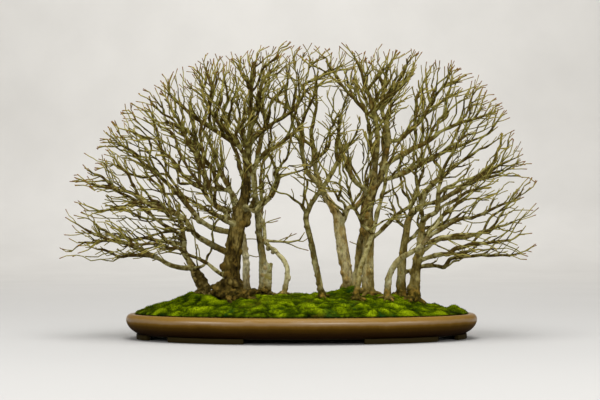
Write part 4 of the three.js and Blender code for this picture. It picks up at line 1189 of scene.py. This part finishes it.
def grow_wood(settings):
    """All the wood: laid limbs, the main twigs that the solids have too, and fine twigs."""
    noise.seed_set(NOISE_SEED)
    wood = Skeleton(MOST_KNOTS)
    for tree, limbs in enumerate(TREE_LIMBS.values()):
        for k, rows in enumerate(limbs):
            wood.lay_limb(tree, rows, LIMB_SPACING, k == 0)
    wood.grow(scatter_targets(MAIN_TARGETS, MAIN_SEED), MAIN_REACH, MAIN_STEP, MAIN_SPREAD, True,
        lambda knots: knots >= 0)
    fine = scatter_targets(settings.twig_targets, FINE_SEED, FINE_KEPT)
    wood.grow(fine, FINE_REACH, settings.twig_step / MM, settings.twig_spread / MM, False,
        lambda knots: wood.laid[knots] < SPROUTS_BELOW)
    wobble(wood)
    return wood


def sort_wood(wood, runs, radius, reach, tip_radius):
    """One tree's runs as rows [x, y, z, radius, reach, joint], cut into thick wood, branches and
    twigs. Each stretch starts on the last row of the stouter one."""
    thick, middle, fine = [], [], []
    for knots, is_side in runs:
        rows = [[*map(float, wood.place[k]), float(radius[k]), float(reach[k]),
            float(wood.forks[k] > 1)] for k in knots]
        offset = 0
        if is_side:
            rows[0][3] = min(FORK_RADIUS[0] * rows[0][3], FORK_RADIUS[1] * rows[1][3])
            offset = 1
        x, y, z = rows[-1][:3]
        y *= INNER_DEPTH
        if any(in_crown(x, y, z, dome, INNER_CROWN) for dome in (CROWN, RIGHT_CROWN)):
            for row in rows:
                row[4] += INNER_REACH
        first_thin, first_fine = (next((k for k in range(offset, len(rows))
            if rows[k][3] < least), len(rows)) for least in (SKIN_FROM, ROUND_FROM))
        start = 0
        if first_thin > 1 + offset:
            thick.append(rows[:first_thin])
            start = first_thin - 1
        if first_fine > start + 1:
            stretch = smooth_rows(rows[start:first_fine], BRANCH_SPACING)
            for row in stretch:
                swell = BRANCH_SWELL * noise_at(row[:3], BRANCH_SWELL_SIZE)
                row[3] *= 1 + swell + JOINT_SWELL * row[5]
            middle.append(stretch)
            start = first_fine - 1
        if first_fine < len(rows):
            fine.append(with_bud(rows[start:], tip_radius))
        elif middle and start == first_fine - 1:
            middle[-1] = with_blunt_end(middle[-1])
    return thick, middle, fine


def make_trunk_mesh(name, thick, seed):
    """The thick wood of one tree with its roots, its swellings and its healed knots."""
    random = seeded_random(seed)
    least = OLD_ROOT_LENGTH if name == OLD_TREE else ROOT_LENGTH
    stems = [thick[0]]
    if name == TWIN_STEM["tree"]:
        stems.append([[*row, TWIN_REACH, 0] for row in TWIN_STEM["rows"]])
        thick = [*thick, stems[1]]
    roots = []
    for stem in stems:
        x, y, z, radius = stem[0][:4]
        stem.insert(0, [x, y, z - BURY_DEPTH, BURIED_SCALE * radius, BURIED_REACH, 0])
        roots.extend(root_rows(x, y, radius, random, least))
    thick = [smooth_rows(run, SKIN_SPACING) for run in thick]
    forks = thick[1:-1] if len(stems) > 1 else thick[1:]
    knuckles = [(*run[0][:3], KNUCKLE_SIZE * run[1][3]) for run in forks]
    knuckles.extend(LUMPS.get(name, ()))
    return trunk_skin(name, thick, roots, knuckles, list(old_knots(thick, random)))


def make_tree_mesh(name, wood, runs, radius, reach, seed, tip_radius):
    """One tree: its thick wood as a skin, and its twigs as tubes that start inside it."""
    thick, middle, fine = sort_wood(wood, runs, radius, reach, tip_radius)
    fine.extend(spray_rows(points, tip_radius) for points in SPRAYS.get(name, ()))
    meshes = [make_trunk_mesh(name, thick, seed)]
    if middle:
        meshes.append(tube_mesh(name, middle, BRANCH_SIDES))
    if fine:
        meshes.append(tube_mesh(name, fine, TWIG_SIDES))
    mesh = joined_mesh(name, meshes)
    shade(mesh)
    return mesh


def with_end(rows, shape, radius, reach):
    """A run of wood with rows [how far on, radius] added at its end."""
    x, y, z = rows[-1][:3]
    way = unit(*(b - a for a, b in zip(rows[-2][:3], rows[-1][:3])))
    end = [[x + far * way[0], y + far * way[1], z + far * way[2], size * radius, reach, 0]
        for far, size in shape]
    return rows + end


def with_bud(rows, tip_radius):
    """A run of wood that ends in its pointed bud."""
    inner = min(row[4] for row in rows)
    return with_end(rows, BUD_SHAPE, tip_radius, max(0, inner - BUD_REACH))


def spray_rows(points, tip_radius):
    """The run of one short shoot, with its bud."""
    rows = []
    reach = 0
    for point in points[::-1]:
        reach += math.dist(point, rows[0][:3]) if rows else 0
        rows.insert(0, [*point, tip_radius + SPRAY_TAPER * reach, reach, 0])
    return with_bud(smooth_rows(rows, SPRAY_SPACING), tip_radius)


def with_blunt_end(rows):
    """A run of wood that ends where it was cut, and has healed round."""
    radius = rows[-1][3]
    for row in rows:
        row[4] = max(row[4], BLUNT_REACH)
    shape = [[far * radius, size] for far, size in BLUNT_SHAPE]
    return with_end(rows, shape, radius, BLUNT_REACH)


def moss_relief(x, y):
    """How far the cushions of moss rise over the mound at a point, and how near their crests. The
    moss paints its crests light and its hollows dark from this, as painted light and shade.
    """
    span, far = CUSHION_WANDER
    wander = noise.noise_vector((x / span, y / span, 2.5))
    domes = []
    crest = CREST_BASE
    for width, depth, _, weight in CUSHIONS:
        far_off, middles = noise.voronoi(((x + far * wander[0]) / width,
            (y + far * wander[1]) / depth, width))[:2]
        fullness = CUSHION_FULLNESS[0] + CUSHION_FULLNESS[1] * noise.noise(middles[0] * 5.3)
        seam = min(1, (far_off[1] - far_off[0]) / CUSHION_SEAM)
        dome = max(0, 1 - (far_off[0] / CUSHION_REACH) ** 2)
        domes.append(fullness * math.sqrt(dome * seam))
        crest += weight * seam * fullness * max(0, 1 - far_off[0] / CREST_REACH)
    rise = sum(dome * row[2] for dome, row in zip(domes, CUSHIONS)) - CUSHION_SINK
    tuft_size, tuft_rise = TUFTS
    rise += tuft_rise * noise.noise((x / tuft_size, y / tuft_size, 1.7))
    for middle_x, middle_y, height, width in HUMMOCKS:
        square = (x - middle_x) ** 2 + (y - middle_y) ** 2
        rise += height * math.exp(-square / (2 * width * width))
    share = min(1, MOSS_EDGE_SLOPE * float(inside_lip(x, y)))
    rise = share * max(-DEEPEST_HOLLOW, rise) + (1 - share) * MOSS_EDGE_RISE
    return rise, crest


def make_moss_mesh(name, step):
    """The carpet of moss: a grid drawn out to the oval, lifted into cushions, and closed below."""
    half_x = TRAY_HALF_LENGTH - LIP_INSET - MOSS_EDGE
    half_y = TRAY_HALF_WIDTH - LIP_INSET - MOSS_EDGE
    bm = bmesh.new()
    bmesh.ops.create_grid(bm, x_segments=round(2 * half_x / step),
        y_segments=round(2 * half_y / step), size=1)
    crest_layer = bm.verts.layers.float.new("crest")
    for vert in bm.verts:
        u, v = vert.co.x, vert.co.y
        x = half_x * u * math.sqrt(1 - v * v / 2)
        y = half_y * v * math.sqrt(1 - u * u / 2)
        rise, crest = moss_relief(x, y)
        vert[crest_layer] = crest
        vert.co = Vector((x, y, float(ground_height(x, y)) + rise)) * MM
    grown = bmesh.ops.extrude_face_region(bm, geom=list(bm.faces), use_keep_orig=True)["geom"]
    for item in grown:
        if isinstance(item, bmesh.types.BMVert):
            x, y = UNDERSIDE_SCALE * item.co.x / MM, UNDERSIDE_SCALE * item.co.y / MM
            item.co = Vector((x, y, float(ground_height(x, y)) - MOSS_THICKNESS)) * MM
    bmesh.ops.recalc_face_normals(bm, faces=bm.faces)
    order_faces(bm)
    mesh = mesh_from(bm, name)
    shade(mesh)
    return mesh


def make_shoots_mesh(name, count, seed):
    """Single shoots of moss all over the cushions, copied from one small spike."""
    bm = bmesh.new()
    bmesh.ops.create_cone(bm, cap_ends=True, segments=3, radius1=SHOOT_RADIUS, radius2=0, depth=1)
    bmesh.ops.translate(bm, verts=bm.verts, vec=(0, 0, 0.5))
    helper = new_object(name, mesh_from(bm, name))
    copies = helper.modifiers.new("copies", "ARRAY")
    copies.fit_type = "FIXED_COUNT"
    copies.count = count
    copies.use_relative_offset = False
    mesh = evaluated_mesh(helper)
    remove_helper(helper)
    mesh.name = name
    random = np.random.default_rng(seed)
    places = vertex_places(mesh).reshape(count, -1, 3)
    angle = random.uniform(0, 2 * math.pi, count)
    far = np.sqrt(random.uniform(0, 1, count))
    x = (TRAY_HALF_LENGTH - LIP_INSET - SHOOT_MARGIN) * far * np.cos(angle)
    y = (TRAY_HALF_WIDTH - LIP_INSET - SHOOT_MARGIN) * far * np.sin(angle)
    ground = ground_height(x, y)
    relief = np.array([moss_relief(*pair) for pair in zip(x, y)])
    height = random.uniform(*SHOOT_HEIGHT, count)
    height = height * (SHOOT_GROWTH[0] + SHOOT_GROWTH[1] * relief[:, 1])
    lean = random.normal(0, SHOOT_LEAN, (count, 2))
    lean[:, 0] -= (ground_height(x + SLOPE_STEP, y) - ground) / SLOPE_RUN
    lean[:, 1] -= (ground_height(x, y + SLOPE_STEP) - ground) / SLOPE_RUN
    turn = random.uniform(0, 2 * math.pi, count)
    cos, sin = np.cos(turn)[:, None], np.sin(turn)[:, None]
    up = places[:, :, 2] * height[:, None]
    across, along = places[:, :, 0].copy(), places[:, :, 1].copy()
    places[:, :, 0] = x[:, None] + across * cos - along * sin + up * lean[:, :1]
    places[:, :, 1] = y[:, None] + across * sin + along * cos + up * lean[:, 1:]
    places[:, :, 2] = (ground + relief[:, 0] - SHOOT_DEPTH)[:, None] + up
    tips = np.where(up > 0.5 * height[:, None], 1, 0)
    set_vertex_places(mesh, places.reshape(-1, 3) * MM)
    set_attribute(mesh, "crest", np.repeat(relief[:, 1], places.shape[1]))
    set_attribute(mesh, "tip", tips.ravel())
    set_attribute(mesh, "shade", np.repeat(random.uniform(0, 1, count), places.shape[1]))
    return mesh


def linear(hex_colour):
    """An sRGB hex colour as a linear colour with alpha."""
    channels = [int(hex_colour[k:k + 2], 16) / 255 for k in (1, 3, 5)]
    return (*(c / 12.92 if c <= 0.04045 else ((c + 0.055) / 1.055) ** 2.4 for c in channels), 1)


def add_node(material, kind, inputs=None, stops=None, **settings):
    """Adds one node. An input is a constant or the output socket that it is linked to."""
    tree = material.node_tree
    node = tree.nodes.new(kind)
    for name, value in settings.items():
        setattr(node, name, value)
    for key, value in (inputs or {}).items():
        if isinstance(value, bpy.types.NodeSocket):
            tree.links.new(value, node.inputs[key])
        else:
            node.inputs[key].default_value = value
    if stops:
        elements = node.color_ramp.elements
        while len(elements) < len(stops):
            elements.new(0.5)
        for element, (position, colour) in zip(elements, stops):
            element.position = position
            element.color = linear(colour)
    return node


def new_material(name):
    """A node material with its shader, and the place on the piece that its patterns read."""
    material = bpy.data.materials.new(name)
    material.use_nodes = True
    material.node_tree.nodes.clear()
    shader = add_node(material, "ShaderNodeBsdfPrincipled")
    add_node(material, "ShaderNodeOutputMaterial", {"Surface": shader.outputs["BSDF"]})
    return material, shader, add_node(material, "ShaderNodeTexCoord").outputs["Object"]


def finish_surface(material, shader, colour, height=None, bump=0.3, depth=0.5, **constants):
    """Links the colour and the bump to the shader, and sets its constants on its own sockets."""
    material.node_tree.links.new(colour, shader.inputs["Base Color"])
    if height is not None:
        raised = add_node(material, "ShaderNodeBump",
            {"Height": height, "Strength": bump, "Distance": depth * MM})
        material.node_tree.links.new(raised.outputs["Normal"], shader.inputs["Normal"])
    for name, value in constants.items():
        shader.inputs[name.replace("_", " ")].default_value = value


def maple_bark(name, tones, start, end):
    """Trident maple bark. Trunks are grey and tan with flaking brown patches and green algae,
    branches olive with brown joints, and the newest shoots tan with red-brown buds. Above a
    height the trunks are darkened with mottled painted shade."""
    material, shader, place = new_material(name)
    height = add_node(material, "ShaderNodeSeparateXYZ", {"Vector": place}).outputs["Z"]
    tall = add_node(material, "ShaderNodeMapping",
        {"Vector": place, "Scale": (1, 1, 0.4)}).outputs["Vector"]
    thickness, reach, joint = (add_node(material, "ShaderNodeAttribute",
        attribute_name=attribute).outputs["Fac"] for attribute in WOOD_ATTRIBUTES)
    # Bark patches are 18 mm wide, their flakes 4 mm and the mottle 11 mm, which breaks up the
    # painted shade high on the trunks, the rust, the branch tones and the earthy foot.
    patches, flakes, mottle = (add_node(material, "ShaderNodeTexNoise", {"Vector": vector,
        "Scale": 1 / (width * MM), "Detail": detail, "Roughness": roughness}).outputs["Fac"]
        for vector, width, detail, roughness in
        ((tall, 18.182, 5, 0.62), (tall, 4.1667, 4, 0.6), (place, 11.111, 3, 0.6)))
    worn = add_node(material, "ShaderNodeMath", {0: joint, 1: -0.16, 2: mottle},
        operation="MULTIPLY_ADD").outputs["Value"]
    trunk, spots, trunk_painted_shade, wood, limb, foot = (add_node(material, "ShaderNodeValToRGB",
        {"Fac": source}, [(position, tones.get(tone, tone)) for position, tone in stops]
        ).outputs["Color"] for source, stops in (
            (patches, [(0.33, "dark"), (0.44, "brown"), (0.52, "grey"), (0.61, "pale"),
                (0.72, "algae")]),
            (flakes, [(0.36, "#8a8078"), (0.5, "#ffffff"), (0.66, "#fffaf0")]),
            # This mottle ramp is the painted shade that darkens the trunks high up.
            (mottle, [(0.4, "#625836"), (0.6, "#dcd8c4")]),
            (worn, [(0.32, "joint"), (0.45, "branch"), (0.62, "twig")]),
            (worn, [(0.34, "joint"), (0.43, "limb"), (0.6, "limb_top")]),
            (mottle, [(0.38, "dark"), (0.5, "foot"), (0.62, "rust")])))
    # Where each tone lies, as a value that runs from one level to another and what it becomes
    # there. Heights are in metres, as Object coordinates are.
    trunk_shade_share, is_low, is_rusty, is_trunk, is_shoot, is_bud, is_foot = (
        add_node(material, "ShaderNodeMapRange", {"Value": value, "From Min": least,
            "From Max": most, "To Min": before, "To Max": after}).outputs["Result"]
        for value, least, most, before, after in (
            (height, start * MM, end * MM, 0, 1), (height, 0.42, 0.26, 0.15, 1),
            (worn, 0.42, 0.3, 0, 0.55), (thickness, 4.2, 7, 0, 1), (reach, 50, 12, 0, 1),
            (reach, 9, 1, 0, 1), (height, 0.128, 0.084, 0, 1)))
    is_limb = add_node(material, "ShaderNodeMapRange",
        {"Value": thickness, "From Min": 1.5, "From Max": 2.8, "To Max": is_low}).outputs["Result"]
    patchy = add_node(material, "ShaderNodeMath", {0: is_foot, 1: patches},
        operation="MULTIPLY").outputs["Value"]
    is_earthy = add_node(material, "ShaderNodeMapRange",
        {"Value": patchy, "From Min": 0.14, "From Max": 0.4}).outputs["Result"]
    # Above its tree's start height, each trunk is darkened by mottled painted shade.
    for share, colour, blend in ((0.75, spots, "MULTIPLY"), (trunk_shade_share, trunk_painted_shade, "MULTIPLY"),
            (is_rusty, linear(tones["rust"]), "MIX")):
        trunk = add_node(material, "ShaderNodeMix", {0: share, 6: trunk, 7: colour},
            data_type="RGBA", blend_type=blend).outputs[2]
    for share, colour in ((is_limb, limb), (is_trunk, trunk), (is_shoot, linear(tones["shoot"])),
            (is_bud, linear(tones["bud"])), (is_earthy, foot)):
        wood = add_node(material, "ShaderNodeMix", {0: share, 6: wood, 7: colour},
            data_type="RGBA").outputs[2]
    finish_surface(material, shader, wood, flakes, 0.6, 0.9,
        Roughness=0.86, IOR=1.45, Specular_IOR_Level=0.1)
    return material


def olive_glaze():
    """A satin olive-brown stoneware glaze with a faint mottle and fine iron specks. Its colour is
    painted light near the lip and painted shade down to the belly, a little lighter on the feet.
    Its coat shines in a band below the lip, and it is dull under the belly."""
    material, shader, place = new_material("olive_glaze")
    height = add_node(material, "ShaderNodeSeparateXYZ", {"Vector": place}).outputs["Z"]
    # The glaze pools 36 mm wide, and its iron specks are 1.1 mm, the least that shows.
    pools, specks = (add_node(material, "ShaderNodeTexNoise", {"Vector": place,
        "Scale": 1 / (width * MM), "Detail": detail, "Roughness": roughness}).outputs["Fac"]
        for width, detail, roughness in ((35.714, 4, 0.55), (1.1111, 2, 0.5)))
    # Colour by height: painted light on the upper wall, painted shade down to the belly.
    level = add_node(material, "ShaderNodeMapRange",
        {"Value": height, "From Min": 0.008, "From Max": 0.048}).outputs["Result"]
    pools_and_painted_shading = add_node(material, "ShaderNodeMath", {0: pools, 1: 0.16, 2: level},
        operation="MULTIPLY_ADD").outputs["Value"]
    glaze, iron, shine = (add_node(material, "ShaderNodeValToRGB", {"Fac": source},
        stops).outputs["Color"] for source, stops in (
            # These tones run from the feet, a little lighter, through painted shade to painted
            # light.
            (pools_and_painted_shading, [(0.1, "#2e2610"), (0.17, "#1e0e00"), (0.4, "#281701"), (0.62, "#422d03"),
                (0.8, "#6e5018"), (0.95, "#7a5c26")]),
            (specks, [(0.27, "#59483a"), (0.36, "#ffffff")]),
            (pools_and_painted_shading, [(0.76, "#000000"), (0.86, "#e6e6e6"), (0.93, "#d8d8d8"), (1, "#383838")])))
    glaze = add_node(material, "ShaderNodeMix", {0: 0.6, 6: glaze, 7: iron},
        data_type="RGBA", blend_type="MULTIPLY").outputs[2]
    roughness = add_node(material, "ShaderNodeMapRange",
        {"Value": pools_and_painted_shading, "From Min": 0.6, "To Min": 0.7, "To Max": 0.3}).outputs["Result"]
    material.node_tree.links.new(roughness, shader.inputs["Roughness"])
    material.node_tree.links.new(shine, shader.inputs["Coat Weight"])
    finish_surface(material, shader, glaze, pools, 0.25, 0.8,
        IOR=1.5, Specular_IOR_Level=0.04, Coat_Roughness=0.3, Coat_IOR=2)
    return material


def screen_plastic():
    """Black extruded polyethylene netting: a dull sheen with fine scuffs 2.5 mm apart."""
    material, shader, place = new_material("screen_plastic")
    scuffs = add_node(material, "ShaderNodeTexNoise", {"Vector": place, "Scale": 1 / (2.5 * MM),
        "Detail": 3, "Roughness": 0.6}).outputs["Fac"]
    black = add_node(material, "ShaderNodeValToRGB", {"Fac": scuffs},
        [(0.35, "#161614"), (0.7, "#2a2a27")])
    finish_surface(material, shader, black.outputs["Color"], scuffs, 0.2, 0.1,
        Roughness=0.55, IOR=1.51)
    return material


def planting_mix():
    """Moist baked clay and grit: rounded brown granules about 3 mm across."""
    material, shader, place = new_material("planting_mix")
    grains = add_node(material, "ShaderNodeTexVoronoi", {"Vector": place, "Scale": 1 / (3.03 * MM)})
    tint = add_node(material, "ShaderNodeSeparateColor", {"Color": grains.outputs["Color"]})
    soil = add_node(material, "ShaderNodeValToRGB", {"Fac": tint.outputs["Red"]},
        [(0.1, "#33261a"), (0.5, "#5a4128"), (0.9, "#7d6345")])
    finish_surface(material, shader, soil.outputs["Color"], grains.outputs["Distance"], 0.8, 1.2,
        Roughness=0.95, IOR=1.4)
    return material


def living_moss(name, has_tips):
    """Cushion moss: dark green between the cushions as painted shade, bright yellow-green on their
    crests as painted light, and brown where old growth shows."""
    material, shader, place = new_material(name)
    crest = add_node(material, "ShaderNodeAttribute", attribute_name="crest").outputs["Fac"]
    # The green drifts over 38 mm, single stems are 2.4 mm, old growth lies 59 mm apart and the
    # lushest growth 29 mm.
    fields, grain, old, lush = (add_node(material, "ShaderNodeTexNoise", {"Vector": place,
        "Scale": 1 / (width * MM), "Detail": detail, "Roughness": roughness,
        "Distortion": distortion}).outputs["Fac"] for width, detail, roughness, distortion in
        ((38.462, 4, 0.6, 0), (2.381, 3, 0.7, 0), (58.824, 5, 0.7, 0), (29.412, 2, 0.5, 0.6)))
    # Crests are lightened as painted light and hollows darkened as painted shade; the drift is
    # real.
    crest_light_and_drift = -0.14
    for value, weight in ((crest, 0.85), (fields, 0.55)):
        crest_light_and_drift = add_node(material, "ShaderNodeMath", {0: value, 1: weight, 2: crest_light_and_drift},
            operation="MULTIPLY_ADD").outputs["Value"]
    moss, speckle = (add_node(material, "ShaderNodeValToRGB", {"Fac": source},
        stops).outputs["Color"] for source, stops in (
            (crest_light_and_drift, [(0.22, "#0a1200"), (0.36, "#253400"), (0.48, "#435301"), (0.62, "#617202"),
                (0.8, "#82940a")]),
            (grain, [(0.36, "#55553c"), (0.5, "#ffffff")])))
    is_old, is_lush = (add_node(material, "ShaderNodeMapRange", {"Value": value,
        "From Min": least, "From Max": most, "To Max": share}).outputs["Result"]
        for value, least, most, share in ((old, 0.56, 0.68, 0.75), (lush, 0.6, 0.7, 0.6)))
    layers = [(is_old, linear("#40360a"), "MIX"), (is_lush, linear("#0e3a12"), "MIX"),
        (0.8, speckle, "MULTIPLY")]
    if has_tips:
        tip, tint = (add_node(material, "ShaderNodeAttribute",
            attribute_name=attribute).outputs["Fac"] for attribute in ("tip", "shade"))
        bright = add_node(material, "ShaderNodeMath", {0: tip, 1: 0.4}, operation="MULTIPLY")
        tone = add_node(material, "ShaderNodeValToRGB", {"Fac": tint},
            [(0, "#8f8f70"), (1, "#ffffff")])
        layers += [(bright.outputs["Value"], linear("#8a9c08"), "MIX"),
            (0.8, tone.outputs["Color"], "MULTIPLY")]
    for share, colour, blend in layers:
        moss = add_node(material, "ShaderNodeMix", {0: share, 6: moss, 7: colour},
            data_type="RGBA", blend_type=blend).outputs[2]
    finish_surface(material, shader, moss, grain, 0.9, 1.5,
        Roughness=0.95, IOR=1.4, Specular_IOR_Level=0.02)
    return material


class TraySettings(bpy.types.PropertyGroup):
    """Choices for the tray."""

    steps: bpy.props.IntProperty(name="Steps round", default=192, min=48, max=360,
        description="How many faces go round the oval")


class WoodSettings(bpy.types.PropertyGroup):
    """Choices for the trees."""

    twig_targets: bpy.props.IntProperty(name="Fine twigs", default=4950, min=0, max=12000,
        description="How many points in the crown the fine twigs grow to")
    twig_step: bpy.props.FloatProperty(name="Twig step", default=0.012, min=0.006, max=0.03,
        unit="LENGTH", description="The length of one piece of fine twig between its knots")
    twig_spread: bpy.props.FloatProperty(name="Twig spread", default=0.011, min=0.005, max=0.03,
        unit="LENGTH", description="How close a twig comes to a point before it stops there")
    tip_radius: bpy.props.FloatProperty(name="Tip radius", default=0.0009, min=0.0004,
        max=0.0015, unit="LENGTH", description="The radius of the newest shoots")


class MossSettings(bpy.types.PropertyGroup):
    """Choices for the moss."""

    step: bpy.props.FloatProperty(name="Grid step", default=0.0026, min=0.0015, max=0.01,
        unit="LENGTH", description="The size of one face of the moss carpet")
    shoots: bpy.props.IntProperty(name="Shoots", default=30000, min=1000, max=48000,
        description="How many single shoots stand on the cushions")


class StageSettings(bpy.types.PropertyGroup):
    """Choices for the studio."""

    # The floor's grey round the tray is painted shade.
    floor: bpy.props.FloatVectorProperty(name="Floor", subtype="COLOR",
        default=linear("#abaaa8")[:3], min=0, max=1,
        description="The colour of the floor round the tray")


class PLANTING_OT_tray(bpy.types.Operator):
    """Make the glazed oval tray with its feet and drain holes"""

    bl_idname = "planting.tray"
    bl_label = "Tray"

    def execute(self, context):
        settings = context.scene.planting_tray
        mesh = make_tray_mesh(settings.steps)
        mesh.name = "glazed_tray"
        link_piece("glazed_tray", mesh, olive_glaze(), ["tray"])
        return {"FINISHED"}


class PLANTING_OT_filling(bpy.types.Operator):
    """Give the drain screens and the planting mix their finishes"""

    bl_idname = "planting.filling"
    bl_label = "Screens and planting mix"

    def execute(self, context):
        finishes = {"drain_screen_left": screen_plastic(), "soil": planting_mix()}
        finishes["drain_screen_right"] = finishes["drain_screen_left"]
        for node, material in finishes.items():
            mesh = frame["nodes"][node].data
            mesh.materials.clear()
            mesh.materials.append(material)
        return {"FINISHED"}


class PLANTING_OT_trees(bpy.types.Operator):
    """Grow the twelve maples with their fine twigs and buds"""

    bl_idname = "planting.trees"
    bl_label = "Trees"

    def execute(self, context):
        settings = context.scene.planting_wood
        tip_radius = settings.tip_radius / MM
        wood = grow_wood(settings)
        radius, reach = wood_thickness(wood, tip_radius)
        stouten(wood, radius)
        runs = split_runs(wood, radius)
        for index, name in enumerate(TREE_LIMBS):
            own = [run for run in runs if wood.tree[run[0][-1]] == index]
            mesh = make_tree_mesh(name, wood, own, radius, reach, index + 1, tip_radius)
            piece = f"maple_{index + 1:02d}"
            mesh.name = piece
            kind, start, end = BARK_OF[name]
            bark = maple_bark(f"{kind}_bark_{index + 1:02d}", {**YOUNG_TONES, **BARK_TONES[kind]},
                start, end)
            link_piece(piece, mesh, bark, [name])
        return {"FINISHED"}


class PLANTING_OT_moss(bpy.types.Operator):
    """Lay the carpet of moss and stand its shoots on it"""

    bl_idname = "planting.moss"
    bl_label = "Moss"

    def execute(self, context):
        settings = context.scene.planting_moss
        noise.seed_set(NOISE_SEED)
        carpet = make_moss_mesh("moss_carpet", settings.step / MM)
        link_piece("moss_carpet", carpet, living_moss("moss", False), ["moss"])
        shoots = make_shoots_mesh("moss_shoots", settings.shoots, SHOOT_SEED)
        link_piece("moss_shoots", shoots, living_moss("moss_shoots", True))
        return {"FINISHED"}


class PLANTING_OT_stage(bpy.types.Operator):
    """Set up the pale studio, its soft lights and the camera"""

    bl_idname = "planting.stage"
    bl_label = "Studio"

    def execute(self, context):
        make_studio(context.scene, context.scene.planting_stage.floor)
        return {"FINISHED"}


class PLANTING_PT_panel(bpy.types.Panel):
    """The planting's pieces and their choices."""

    bl_label = "Maple planting"
    bl_idname = "PLANTING_PT_panel"
    bl_space_type = "VIEW_3D"
    bl_region_type = "UI"
    bl_category = "Planting"

    def draw(self, context):
        scene = context.scene
        groups = ((PLANTING_OT_tray, scene.planting_tray, ("steps",)),
            (PLANTING_OT_filling, None, ()),
            (PLANTING_OT_trees, scene.planting_wood,
                ("twig_targets", "twig_step", "twig_spread", "tip_radius")),
            (PLANTING_OT_moss, scene.planting_moss, ("step", "shoots")),
            (PLANTING_OT_stage, scene.planting_stage, ("floor",)))
        for operator, settings, names in groups:
            box = self.layout.box()
            for name in names:
                box.prop(settings, name)
            box.operator(operator.bl_idname)


def studio_paper(floor):
    """Matt white background paper with faint clouds 333 mm wide, turned grey near the tray on the
    floor as painted shade.
    """
    material, shader, place = new_material("studio_paper")
    clouds = add_node(material, "ShaderNodeTexNoise", {"Vector": place, "Scale": 3, "Detail": 4})
    paper = add_node(material, "ShaderNodeValToRGB", {"Fac": clouds.outputs["Fac"]},
        [(0.3, "#d8d6d2"), (0.7, "#dfddd9")])
    away = add_node(material, "ShaderNodeVectorMath", {0: place}, operation="LENGTH")
    floor_painted_shade = add_node(material, "ShaderNodeMapRange", {"Value": away.outputs["Value"],
        "From Min": FLOOR_FADE[0], "From Max": FLOOR_FADE[1]})
    paper = add_node(material, "ShaderNodeMix",
        {0: floor_painted_shade.outputs["Result"], 6: paper.outputs["Color"], 7: (*floor, 1)},
        data_type="RGBA")
    finish_surface(material, shader, paper.outputs[2], Roughness=0.9)
    return material


def make_studio(scene, floor):
    """A pale sweep of floor and backdrop, soft lights, and the camera."""
    bm = bmesh.new()
    side = [bm.verts.new((-SWEEP_HALF_WIDTH, y, z)) for y, z in SWEEP]
    edges = [bm.edges.new(pair) for pair in zip(side, side[1:])]
    drawn = bmesh.ops.extrude_edge_only(bm, edges=edges)["geom"]
    far = [item for item in drawn if isinstance(item, bmesh.types.BMVert)]
    bmesh.ops.translate(bm, verts=far, vec=(2 * SWEEP_HALF_WIDTH, 0, 0))
    bmesh.ops.recalc_face_normals(bm, faces=bm.faces)
    mesh = mesh_from(bm, "sweep")
    shade(mesh)
    sweep = new_object("sweep", mesh)
    mesh.materials.append(studio_paper(floor))
    sweep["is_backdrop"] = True
    for name, place, aim, size, power in LIGHTS:
        lamp = bpy.data.lights.new(name, "AREA")
        lamp.shape = "ELLIPSE"
        lamp.size, lamp.size_y = size
        lamp.energy = power
        light = new_object(name, lamp)
        light.location = place
        way = Vector(aim) - Vector(place)
        light.rotation_euler = way.to_track_quat("-Z", "Y").to_euler()
    world = bpy.data.worlds.new("studio")
    world.use_nodes = True
    background = world.node_tree.nodes["Background"]
    background.inputs["Color"].default_value = linear(WORLD_COLOUR)
    background.inputs["Strength"].default_value = WORLD_STRENGTH
    scene.world = world
    camera = bpy.data.cameras.new("camera")
    camera.lens = CAMERA_LENS
    camera.sensor_width = 36
    camera.clip_end = 30
    stand = new_object("camera", camera)
    stand.location = Vector(CAMERA_PLACE) * MM
    stand.rotation_euler = (math.radians(90 + CAMERA_PITCH), 0, math.radians(CAMERA_TURN))
    scene.camera = stand
    scene.view_settings.view_transform = "Standard"


SETTINGS = {"planting_tray": TraySettings, "planting_wood": WoodSettings,
    "planting_moss": MossSettings, "planting_stage": StageSettings}
OPERATORS = (PLANTING_OT_tray, PLANTING_OT_filling, PLANTING_OT_trees, PLANTING_OT_moss,
    PLANTING_OT_stage)


def register():
    """Adds the classes and their settings."""
    for kind in (*SETTINGS.values(), *OPERATORS, PLANTING_PT_panel):
        bpy.utils.register_class(kind)
    for name, kind in SETTINGS.items():
        setattr(bpy.types.Scene, name, bpy.props.PointerProperty(type=kind))


def unregister():
    """Takes the settings and the classes away again."""
    for name in SETTINGS:
        delattr(bpy.types.Scene, name)
    for kind in (PLANTING_PT_panel, *OPERATORS, *SETTINGS.values()):
        bpy.utils.unregister_class(kind)


def main():
    register()
    bpy.ops.planting.tray()
    bpy.ops.planting.filling()
    bpy.ops.planting.trees()
    bpy.ops.planting.moss()
    bpy.ops.planting.stage()
    boxes = {"cad": CAD_BOX, "visual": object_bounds()}
    {name: [list(corner) for corner in box] for name, box in boxes.items()}


if __name__ == "__main__":
    main()
